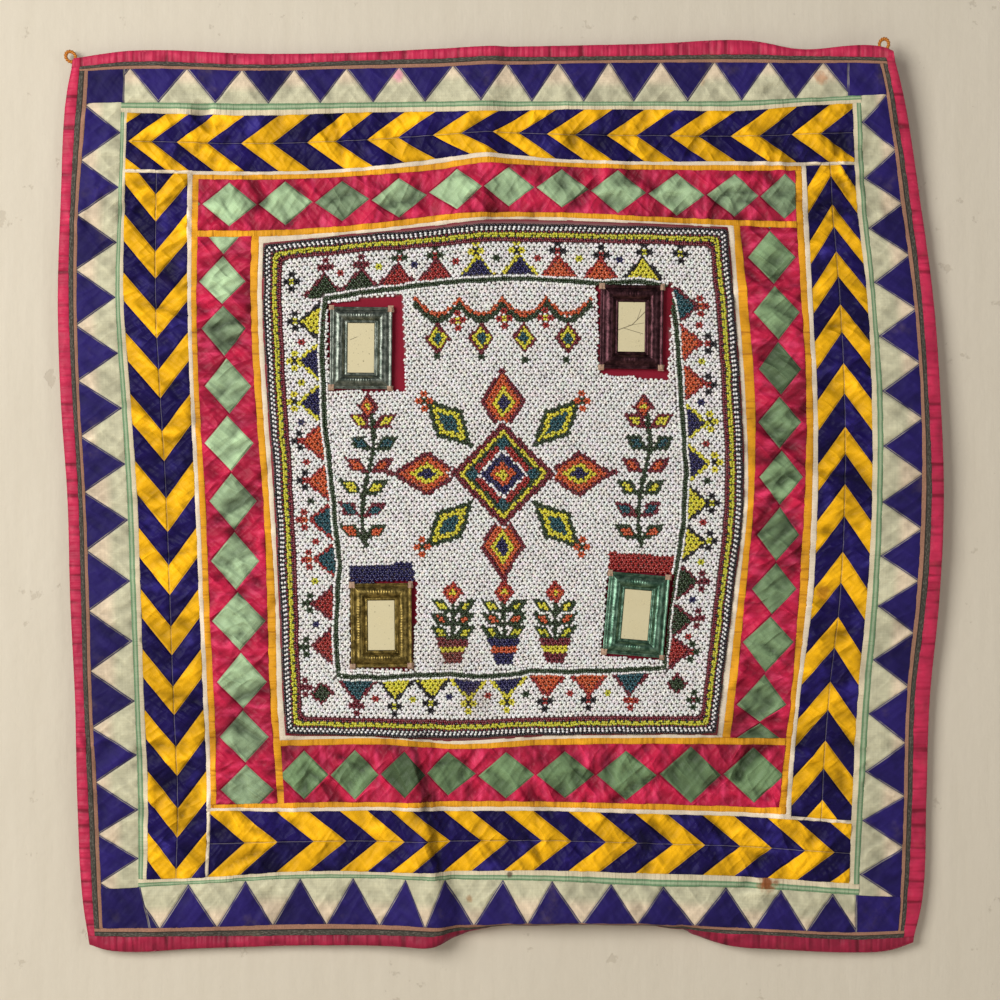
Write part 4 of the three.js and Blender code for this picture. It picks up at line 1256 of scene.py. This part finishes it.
def rope_row(side, offset, name, slant):
    """Beads along a side of the inner frame line, offset outwards from it in millimetres."""
    line = np.array(FRAME_LINE[side], float)
    if side not in LEVEL_SIDES:
        line = line[:, ::-1]
    line = line + np.array(AWAY[side], float) * offset
    length = lengths(line[:, 0], line[:, 1])
    at = np.linspace(0, length[-1], round(length[-1] / ROPE_PITCH))
    across, below = (np.interp(at, length, line[:, k]) for k in (0, 1))
    step_x, step_z = np.gradient(across), -np.gradient(below)
    heading = np.arctan2(step_z, step_x) + math.radians(slant)
    tints = np.full(len(at), TINT_NAMES.index(name))
    return across - ORIGIN_RIGHT, ORIGIN_DOWN - below, heading, tints


i, j = np.meshgrid(np.arange(-1, CELLS[0] + 1), np.arange(-1, CELLS[1] + 1))
hole_a, hole_b = ((i + 0.5 * (j % 2)) * CELL_WIDE).ravel(), (j * CELL_HIGH).ravel()
hole_x, hole_z = panel_place(hole_a / NET_WIDE, hole_b / NET_HIGH, "beads")
slant = math.atan2(CELL_WIDE / 2, CELL_HIGH)
net_a = np.concatenate([hole_a + s for s in (CELL_WIDE / 2, CELL_WIDE / 4, -CELL_WIDE / 4)])
net_b = np.concatenate([hole_b + s for s in (0, CELL_HIGH / 2, CELL_HIGH / 2)])
heading = np.repeat([math.pi / 2, slant, -slant], len(hole_a))
corner_a = np.maximum(np.abs(net_a - NET_WIDE / 2) - (NET_WIDE / 2 - NET_INSET - NET_CORNER), 0)
corner_b = np.maximum(np.abs(net_b - NET_HIGH / 2) - (NET_HIGH / 2 - NET_INSET - NET_CORNER), 0)
kept = np.hypot(corner_a, corner_b) < NET_CORNER
net_a, net_b = net_a[kept], net_b[kept]
bead_x, bead_z, heading = to_panel(net_a, net_b, heading[kept])
right, down = bead_x + ORIGIN_RIGHT, ORIGIN_DOWN - bead_z
tint = np.zeros(bead_x.shape, int)


def paint(mask, name):
    tint[mask] = TINT_NAMES.index(name)


def paint_rings(share, *steps):
    """Paints a motif from its outline inwards: each step has a share of its size and a tint."""
    for limit, name in steps:
        paint(share < limit, name)


def lozenge(at_right, at_down, wide, high, turn=0.0):
    """The share of a turned lozenge's size at each bead: |across| / half width plus
    |up| / half height, 1 on its outline."""
    cos, sin = cos_sin(turn)
    dx, dy = right - at_right, down - at_down
    return np.abs(dx * cos + dy * sin) / wide + np.abs(dy * cos - dx * sin) / high


def hole_ring(at_right, at_down, steps, name):
    """Paints the six beads round a hole: the hole nearest a place, or a number of cells across
    and down from it."""
    away = np.hypot(hole_x + ORIGIN_RIGHT - at_right, ORIGIN_DOWN - hole_z - at_down)
    k = away.argmin()
    a, b = hole_a[k] + steps[0] * CELL_WIDE, hole_b[k] + steps[1] * CELL_HIGH
    paint(np.hypot(net_a - a, net_b - b) < RING_REACH, name)


def flower(at_right, at_down, petal, heart, leave=None):
    """Four petals, each the beads round a hole, about a heart. One may be left out."""
    hole_ring(at_right, at_down, (0, 0), heart)
    for k, steps in enumerate(((0, -2), (1, 0), (0, 2), (-1, 0))):
        if k != leave:
            hole_ring(at_right, at_down, steps, petal)


# Kinds of border triangles that stand on the line: body, outline, petals of their flower, its heart
TRIANGLE_KINDS = {
    "leaf": ("green", "maroon", "maroon", "maroon"), "rose": ("red", "maroon", "green", "red"),
    "night": ("navy", "yellow", "yellow", "black"), "ember": ("orange", "red", "black", "red"),
    "sun": ("yellow", "black", "black", "lime"), "lake": ("teal", "red", "red", "orange"),
    "clay": ("red", "maroon", "green", "green"), "pond": ("teal", "maroon", "maroon", "maroon"),
    "pool": ("teal", "maroon", "red", "orange"),
}
TRIANGLES = {
    "top": [
        (324, "leaf"), (361, "leaf"), (398, "rose"), (437, "rose"), (478, "night"), (519, "night"),
        (559, "ember"), (601, "ember"), (643, "sun")],
    "left": [
        (322, "sun"), (361, "night"), (402, "night"), (441, "ember"), (481, "ember"), (520, "lake"),
        (560, "lake"), (604, "clay"), (646, "clay")],
    "bottom": [
        (358, "pond"), (396, "sun"), (432, "sun"), (469, "night"), (507, "night"), (547, "ember"),
        (589, "ember"), (630, "pool")],
    "right": [
        (306, "pool"), (343, "ember"), (383, "ember"), (423, "night"), (463, "night"), (503, "sun"),
        (542, "sun"), (581, "leaf"), (619, "leaf"), (651, "rose")],
}
TRIANGLE_HALF = 19.5
TRIANGLE_HIGH = 27
TRIANGLE_FOOT = 4
DOTS = ("red", "lime", "navy", "red", "green")
# How far out the dots stand, and which petal of the flowers is hidden
DOT_REACH = 22
HIDDEN_PETAL = {"top": 2, "right": 3, "bottom": 0, "left": 1}


def outwards(side, place, reach):
    """The pixel at a place along the frame line of a side, moved outwards by a reach."""
    line = np.array(FRAME_LINE[side], float)
    rise = float(np.interp(place, line[:, 0], line[:, 1]))
    start = (place, rise) if side in LEVEL_SIDES else (rise, place)
    return [value + away * reach for value, away in zip(start, AWAY[side])]


for side, triangles in TRIANGLES.items():
    away_x, away_y = AWAY[side]
    level = side in LEVEL_SIDES
    places = [place for place, _ in triangles]
    for k, (first, second) in enumerate(zip(places, places[1:])):
        hole_ring(*outwards(side, (first + second) / 2, DOT_REACH), (0, 0), DOTS[k % len(DOTS)])
    for place, kind in triangles:
        body, outline, petal, heart = TRIANGLE_KINDS[kind]
        flower(*outwards(side, place, 30 if level else 28), petal, heart, HIDDEN_PETAL[side])
        foot_x, foot_y = outwards(side, place, 0)
        up = (right - foot_x) * away_x + (down - foot_y) * away_y
        off = np.abs(right - foot_x) if level else np.abs(down - foot_y)
        rise = np.maximum(up - TRIANGLE_FOOT, 0) / (TRIANGLE_HIGH - TRIANGLE_FOOT)
        paint_rings(np.where(up > 0, off / TRIANGLE_HALF + rise, 9), (1.0, outline), (0.8, body))
flower(293, 281, "black", "lime")
flower(681, 254, "black", "lime")
flower(306, 687, "maroon", "maroon")
flower(692, 699, "green", "maroon")
paint_rings(lozenge(322, 693, 12, 12), (1.0, "maroon"), (0.76, "green"))
paint_rings(lozenge(677, 684, 11, 11), (1.0, "maroon"), (0.76, "green"))

# Generic ornament in the middle of the net: a lozenge medallion with eight petals, a garland
# above, three potted sprigs below and a leafy stem on either side, in pixels
MEDALLION = (503, 474)
for k in range(8):
    turn = k * 45
    cos, sin = cos_sin(turn)
    middle = (MEDALLION[0] + 76 * cos, MEDALLION[1] + 72 * sin)
    outer = (MEDALLION[0] + 112 * cos, MEDALLION[1] + 104 * sin)
    if k % 2 == 0:
        petal = lozenge(*middle, 35, 23, turn)
        paint_rings(petal, (1.0, "maroon"), (0.8, "orange"), (0.5, "yellow"), (0.28, "navy"))
        hole_ring(*outer, (0, 0), "maroon")
    else:
        paint_rings(lozenge(*middle, 34, 18, turn), (1.0, "green"), (0.74, "yellow"), (0.44, "teal"))
        flower(*outer, "orange", "green")
paint_rings(
    lozenge(*MEDALLION, 56, 56), (1.0, "white"), (0.94, "maroon"), (0.8, "yellow"), (0.71, "green"),
    (0.62, "red"), (0.46, "white"), (0.39, "navy"), (0.24, "orange"), (0.12, "yellow"))
for dx, dy in ((1, 0), (-1, 0), (0, 1), (0, -1)):
    paint_rings(lozenge(MEDALLION[0] + dx * 30, MEDALLION[1] + dy * 30, 7, 7), (1.0, "teal"))

GARLAND_START = 416
SWAG_WIDE = 43.5
swag = np.abs(np.sin(math.pi * (right - GARLAND_START) / SWAG_WIDE))
in_garland = (right > 414) & (right < 592)
garland = down - (304 + 16 * swag)
paint(in_garland & (np.abs(garland) < 3.2), "green")
paint(in_garland & (np.abs(garland + 5.6) < 2.2), "orange")
for k in range(4):
    at_right = GARLAND_START + SWAG_WIDE * (k + 0.5)
    paint_rings(lozenge(at_right, 338, 13, 16), (1.0, "maroon"), (0.74, "yellow"), (0.4, "teal"))
    hole_ring(at_right, 358, (0, 0), "green")
for k in range(1, 4):
    flower(GARLAND_START + SWAG_WIDE * k, 319, "red", "yellow")

for k, (body, band) in enumerate((("maroon", "yellow"), ("navy", "orange"), ("maroon", "yellow"))):
    at_right = 453 + 51 * k
    pot = np.abs(right - at_right) / (16 - (down - 640) * 0.35)
    paint((pot < 1) & (down > 638) & (down < 663), body)
    paint((pot < 1) & (down > 646) & (down < 652), band)
    paint((np.abs(right - at_right) < 2.2) & (down > 600) & (down < 640), "green")
    for step in range(3):
        for way in (-1, 1):
            leaf = lozenge(at_right + way * 12, 632 - step * 13, 13, 6.5, -way * 32)
            paint_rings(leaf, (1.0, "green"), (0.5, ("lime", "orange", "yellow")[step]))
    paint_rings(lozenge(at_right, 592, 11, 12), (1.0, "red"), (0.66, "orange"), (0.33, "yellow"))

for way in (-1, 1):
    stem_right = 506 + way * 138
    stem = stem_right + 6 * np.sin((down - 398) / 25)
    paint((np.abs(right - stem) < 2.3) & (down > 412) & (down < 548), "green")
    for k in range(6):
        at_down = 426 + 22 * k
        at_stem = stem_right + 6 * math.sin((at_down - 398) / 25)
        for hand in (-1, 1):
            leaf = lozenge(at_stem + hand * 13, at_down - 5, 14, 7.5, -hand * 32)
            inner_tint = ("yellow", "teal", "orange")[k % 3]
            paint_rings(leaf, (1.0, "green" if k % 2 else "maroon"), (0.58, inner_tint))
    paint_rings(lozenge(stem_right, 407, 11, 13), (1.0, "maroon"), (0.66, "orange"), (0.3, "yellow"))

# Beaded blocks above the two lower mirrors
BLOCKS = [
    ([(350, 565), (413, 563), (414, 583), (350, 584)], "navy"),
    ([(608, 552), (675, 556), (675, 576), (609, 571)], "red"),
]
for corners, name in BLOCKS:
    paint(in_corners(bead_x, bead_z, corners), name)

# The net leaves room for the frame line, whose ropes of beads are laid along it, and everything
# leaves the mirrors' windows open
off_rope = np.ones(bead_x.shape, bool)
for side, places in FRAME_LINE.items():
    line = np.array(places, float)
    way, other = (right, down) if side in LEVEL_SIDES else (down, right)
    near = np.abs(other - np.interp(way, line[:, 0], line[:, 1]))
    off_rope &= ~((way > line[0, 0] - 3) & (way < line[-1, 0] + 3) & (near < ROPE_HALF))
rows = [(bead_x[off_rope], bead_z[off_rope], heading[off_rope], tint[off_rope])]
proud = [np.zeros(off_rope.sum())]
for spec in EDGE_ROWS:
    rows.append(edge_row(*spec))
    proud.append(np.full(len(rows[-1][0]), 0.5 if "lime" in spec[3] else 0.1))
for side in FRAME_LINE:
    for offset, name, slant in ROPES:
        rows.append(rope_row(side, offset, name, slant))
        proud.append(np.full(len(rows[-1][0]), 0.6 if name == "green" else 0.3))
bead_x, bead_z, turned, tint = (np.concatenate(column) for column in zip(*rows))
proud = np.concatenate(proud)
covered = ~np.logical_or.reduce([in_corners(bead_x, bead_z, corners) for corners in WINDOWS])
beads = (bead_x, bead_z, turned, tint, proud)
bead_x, bead_z, turned, tint, proud = (values[covered] for values in beads)

# Each bead has its own tone, and then its own turn, place, tilt, roll and size
rng = np.random.default_rng(11)
count = len(bead_x)
tones = np.array([linear(code)[:3] for code in BEAD_TINTS.values()])
shade = 1 + 0.09 * rng.standard_normal(count)[:, None]
shift = 1 + 0.03 * rng.standard_normal((count, 3))
color = np.clip(tones[tint] * shade * shift, 0, 1)
# Soiled places on the net, in pixels
for at_right, at_down, radius in ((478, 700, 16), (450, 655, 18)):
    away = np.hypot(bead_x + ORIGIN_RIGHT - at_right, ORIGIN_DOWN - bead_z - at_down) / radius
    soil = 0.3 * np.clip(1.3 - away, 0, 1)[:, None]
    color = color * (1 - soil) + np.array(linear("7a5a38")[:3]) * soil
color = np.concatenate([color, np.ones((count, 1))], axis=1)

turned = turned + rng.normal(0, 0.13, count)
jitter = rng.normal(0, 0.2, (count, 3)) * np.where(proud > 0.2, 1.9, 1.0)[:, None]
slack = 0.9 * ripple(bead_x / 26 + 40, bead_z / 26 + 60, 21)
centres = np.stack([
    bead_x + jitter[:, 0] + 0.7 * ripple(bead_x / 17 + 50, bead_z / 17 + 90, 22),
    depth(bead_x, bead_z) - 1.15 + 0.3 * jitter[:, 1] - proud - 0.45 * np.abs(slack),
    bead_z + jitter[:, 2] + 0.7 * ripple(bead_x / 17 + 90, bead_z / 17 + 50, 23)], -1)
tilt = rng.normal(0, 0.16, count)
axis = np.stack([np.cos(turned) * np.cos(tilt), np.sin(tilt), np.sin(turned) * np.cos(tilt)], -1)
first = np.cross(axis, np.array([0.0, 1.0, 0.0]))
first /= np.linalg.norm(first, axis=1, keepdims=True)
second = np.cross(axis, first)
roll = rng.uniform(0, math.pi / 2, count)
scale = 1 + rng.normal(0, 0.05, count)


def bead_points():
    """Ten points a bead: a pole at each end of its axis, and between them two rings of four, the
    second turned by half a step."""
    points = []
    for along, radius, shift in ((-0.47, 0, 0), (-0.27, 1.06, 0), (0.27, 1.06, 0.5), (0.47, 0, 0)):
        for k in range(4 if radius else 1):
            angle = (roll + (k + shift) * math.pi / 2)[:, None]
            out = (np.cos(angle) * first + np.sin(angle) * second) * (radius * BEAD_RADIUS)
            points.append(centres + scale[:, None] * (axis * (along * BEAD_LONG) + out))
    return np.stack(points, axis=1)


BEAD_FACES = np.array(
    [[0, 1 + (k + 1) % 4, 1 + k] for k in range(4)]
    + [[1 + k, 1 + (k + 1) % 4, 5 + k] for k in range(4)]
    + [[1 + (k + 1) % 4, 5 + (k + 1) % 4, 5 + k] for k in range(4)]
    + [[9, 5 + k, 5 + (k + 1) % 4] for k in range(4)])
all_beads = bead_points()
order = np.argsort(-bead_z, kind="stable")
for k, part in enumerate(np.array_split(order, 4)):
    points = all_beads[part].reshape(-1, 3)
    faces = (BEAD_FACES[None] + 10 * np.arange(len(part))[:, None, None]).reshape(-1, 3)
    tints = np.repeat(color[part], 10, axis=0)
    piece = mesh_piece(
        f"bead_net_{k + 1}", points, faces, "glass_beads",
        {"bead_tint": ("FLOAT_COLOR", "color", tints)})
    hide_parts("bead_panel")

# The framed mirrors: middle, turn in degrees, size, metal, and the depth of the ribs on the
# upright and the level rails
MIRRORS = [
    ("upper_left", -139, 302, -0.5, 62, 82, "pewter_tin", 0.15, 0.5),
    ("upper_right", 131.5, 281, -0.8, 63, 84, "maroon_tin", 0.1, 0.3),
    ("lower_left", -118.5, 579, 0.6, 61, 84, "brass_tin", 0.6, 0.6),
    ("lower_right", 136, 568.5, -5, 61, 82, "green_tin", 0.12, 0.6),
]
GLASS_WIDE, GLASS_HIGH = 27, 50
RAIL_WIDE = 17
# The pressed frame's section from its outer foot: how far in, and how high
SECTION = [
    (0, 0), (0, 2.3), (0.5, 2.9), (1.5, 2.8), (2.3, 1.9), (3.0, 1.9), (4.0, 3.2), (5.2, 4.5), (6.7, 5.5),
    (8.3, 6.0), (9.9, 6.1), (11.3, 5.6), (12.5, 4.5), (13.5, 3.0), (14.3, 1.7), (15.0, 1.3), (15.6, 1.8),
    (16.5, 1.8), (17, 1.2), (17, 0),
]
RIB_PITCH = 2.6


def seat(x, drop, wide, high):
    """The plane on which a mirror lies: it leans with the panel and clears its highest point."""
    z, step = -drop, 20
    lean_x = (depth(x + step, z) - depth(x - step, z)) / (2 * step)
    lean_z = (depth(x, z + step) - depth(x, z - step)) / (2 * step)
    base = depth(x, z)

    def plane(px, pz):
        return base + lean_x * (px - x) + lean_z * (pz - z)

    i, j = np.meshgrid(np.arange(-4, 5), np.arange(-4, 5))
    px, pz = x + i * wide / 8, z + j * high / 8
    clear = max(0.0, float((plane(px, pz) - depth(px, pz)).max()))
    return lambda px, pz, rise: plane(px, pz) - clear - BEADS_PROUD - GAP - rise


def turned_place(mirror, across, up):
    """A place on a mirror's own axes as x and z."""
    _, x, drop, turn, *_ = mirror
    cos, sin = cos_sin(turn)
    return x + across * cos - up * sin, -drop + across * sin + up * cos


def mirror_frame(mirror):
    """A section carried round a rectangle whose half sizes shrink as it goes in, mitred at the
    corners. Ribs stand on the roll: the folded sine of the run along a rail."""
    name, x, drop, _, wide, high, metal, upright_rib, level_rib = mirror
    rail = np.linspace(-1, 1, 97)[:-1]
    ones = np.ones_like(rail)
    around = np.concatenate([
        np.stack([rail, -ones], -1), np.stack([ones, rail], -1),
        np.stack([-rail, ones], -1), np.stack([-ones, -rail], -1)])
    level = np.abs(around[:, 1]) == 1
    inward, rise = (np.array(column, float)[:, None] for column in zip(*SECTION))
    half_wide = wide / 2 - inward * (wide - GLASS_WIDE) / 2 / RAIL_WIDE
    half_high = high / 2 - inward * (high - GLASS_HIGH) / 2 / RAIL_WIDE
    across, up = around[None, :, 0] * half_wide, around[None, :, 1] * half_high
    on_roll = np.exp(-(((inward - 8.8) / 3.4) ** 2))
    length = np.where(level, across, up)
    ribs = np.abs(np.sin(math.pi * length / RIB_PITCH)) - 0.5
    clear_of_corner = np.clip((1 - np.abs(np.where(level, around[:, 0], around[:, 1]))) * 12, 0, 1)
    rise = rise + on_roll * ribs * np.where(level, level_rib, upright_rib) * clear_of_corner
    rise = rise + 0.4 * ripple(across / 8 + 20, up / 8 + 20, 61) * np.minimum(rise, 1)
    px, pz = turned_place(mirror, across, up)
    on_seat = seat(x, drop, wide, high)
    points = np.stack([px, on_seat(px, pz, rise), pz], -1)
    faces = grid_faces(points.shape[:2], (True, True))
    piece = mesh_piece("tin_frame_" + name, points.reshape(-1, 3), faces, metal)
    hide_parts("mirror_frame_" + name)
    return piece


def corner_tabs(mirror):
    """Four stitched scraps over a frame's corners: a small square grid that rides over the lip,
    with stitches as low ridges."""
    name, x, drop, _, wide, high, *_ = mirror
    on_seat = seat(x, drop, wide, high)
    section = np.array(SECTION[1:-1], float)
    rng = np.random.default_rng(len(name) + int(x) % 50)
    parts = []
    for sx, sz in ((-1, -1), (1, -1), (1, 1), (-1, 1)):
        size = rng.uniform(3.0, 5.0, 2)
        p, q = np.meshgrid(np.linspace(-1.6, size[0], 13), np.linspace(-1.6, size[1], 13))
        p = p + 0.5 * ripple(p / 3, q / 3 + 9, 5)
        inward = np.minimum(np.maximum(p, 0), np.maximum(q, 0))
        rise = np.interp(inward, section[:, 0], section[:, 1]) + 0.7
        rise = np.where((p < -0.3) | (q < -0.3), 1.0, rise)
        rise += 0.3 * np.abs(np.sin(p * 2.2)) + 0.25 * ripple(p, q, 8)
        px, pz = turned_place(mirror, sx * (wide / 2 - p), sz * (high / 2 - q))
        front = np.stack([px, on_seat(px, pz, rise), pz], -1)
        points, faces = closed_sheet(front, front + np.array([0, 0.5, 0]))
        parts.append((points, faces[:, ::-1] if volume_of(points, faces) < 0 else faces))
    return joined(parts)


mirror_pieces = [mirror_frame(mirror) for mirror in MIRRORS]
for mirror in MIRRORS:
    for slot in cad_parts["mirror_glass_" + mirror[0]].material_slots:
        slot.material = materials["mirror_glass"]
tabs = mesh_piece("mirror_tabs", *joined([corner_tabs(mirror) for mirror in MIRRORS]), "peach_cotton")


LOOP_RADIUS = 4.6
LOOP_TALL = 1.2
THREAD_RADIUS = 1.5


def thread_loop(name, x, drop, lean):
    """A ring of thread a little taller than wide: a small circle carried round a larger one, its
    radius swelling where the plies turn past."""
    ring, ply = (np.linspace(0, 2 * math.pi, count + 1)[:-1] for count in (96, 16))
    ring, ply = np.meshgrid(ring, ply, indexing="ij")
    twist = np.cos(2 * ply + 14 * ring)
    thick = THREAD_RADIUS * (1 + 0.2 * twist)
    radius = LOOP_RADIUS + thick * np.cos(ply)
    u, v = radius * np.cos(ring), LOOP_TALL * radius * np.sin(ring)
    cos, sin = cos_sin(lean)
    behind = depth(x, -drop) + CLOTH + GAP + 1.1
    points = np.stack([
        x + u * cos - v * sin, behind + thick * np.sin(ply), -drop + u * sin + v * cos], -1)
    faces = grid_faces(points.shape[:2], (True, True))
    piece = mesh_piece(
        "thread_loop_" + name, points.reshape(-1, 3), faces, "loop_thread",
        {"twist": ("FLOAT", "value", (twist.ravel() + 1) / 2)})
    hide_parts("hanging_loop_" + name)


thread_loop("left", -430.5, 9.5, 40)
thread_loop("right", 383, -0.5, -12)

# The wall behind, which is clear from its back, and a floor below the view
g, shader = new_material("pale_wall")
place = g.place()
strokes = g.noise(g.vector("MULTIPLY", place, (1.0, 1.0, 0.12)), 55.0, 4.0, 0.6)
tone = g.ramp(strokes, 0.6, g.times(g.noise(place, 3.0, 3.0), 0.4))
chips = g.step(g.noise(place, 38.0, 5.0, 0.65), 0.66, 0.7)
color = g.blend(g.times(chips, 0.35), g.blend(tone, "cbc1ae", "ded5c4"), "a89c88")
g.join(shader.inputs["Base Color"], color)
relief = g.ramp(chips, -0.4, g.plus(strokes, g.noise(place, 70.0, 4.0)))
g.join(shader.inputs["Normal"], g.bump(relief, 0.35, 0.002))
shader.inputs["Roughness"].default_value = 0.9
clear_behind = g.add("MixShader", {
    0: g.add("NewGeometry", output="Backfacing"), 1: shader.outputs["BSDF"], 2: g.add("BsdfTransparent")})
g.join(g.tree.nodes["Material Output"].inputs["Surface"], clear_behind)

# Where the wall stands, and how far the wall and the floor reach, in metres
WALL = 0.0155
FLOOR = -1.6


def flat_stage(name, corners):
    mesh = bpy.data.meshes.new(name)
    mesh.from_pydata(corners, [], [(0, 1, 2, 3)])
    mesh.materials.append(materials["pale_wall"])
    piece = bpy.data.objects.new(name, mesh)
    bpy.context.scene.collection.objects.link(piece)
    return piece


wall = flat_stage("wall", [(-4, WALL, FLOOR), (4, WALL, FLOOR), (4, WALL, 2.4), (-4, WALL, 2.4)])
wall.visible_shadow = False
wall.visible_diffuse = False
wall.visible_glossy = False
flat_stage("floor", [(-4, -5, FLOOR), (4, -5, FLOOR), (4, WALL, FLOOR), (-4, WALL, FLOOR)])


def soft_light(name, place, aim, size, power, tint):
    """A square lamp turned from its place to what it lights."""
    data = bpy.data.lights.new(name, "AREA")
    data.size = size
    data.energy = power
    data.color = tint
    lamp = bpy.data.objects.new(name, data)
    lamp.location = place
    way = np.array(aim) - np.array(place)
    lamp.rotation_euler = (math.atan2(math.hypot(way[0], way[1]), -way[2]), 0, math.atan2(-way[0], way[1]))
    bpy.context.scene.collection.objects.link(lamp)


soft_light("key", (-2.0, -2.4, 0.35), (-0.1, 0, -0.4), 1.7, 94, (1.0, 0.985, 0.955))
soft_light("fill", (2.3, -2.0, -0.4), (0.3, 0, -0.45), 1.6, 15, (1.0, 0.98, 0.95))
soft_light("behind", (0.4, 2.6, 0.6), (0, 0, -0.45), 1.6, 14, (1.0, 0.98, 0.95))
world = bpy.data.worlds.new("studio")
world.use_nodes = True
sky = world.node_tree.nodes["Background"].inputs
sky["Color"].default_value = (0.93, 0.94, 1.0, 1.0)
sky["Strength"].default_value = 0.18
bpy.context.scene.world = world
bpy.context.scene.view_settings.view_transform = "Standard"
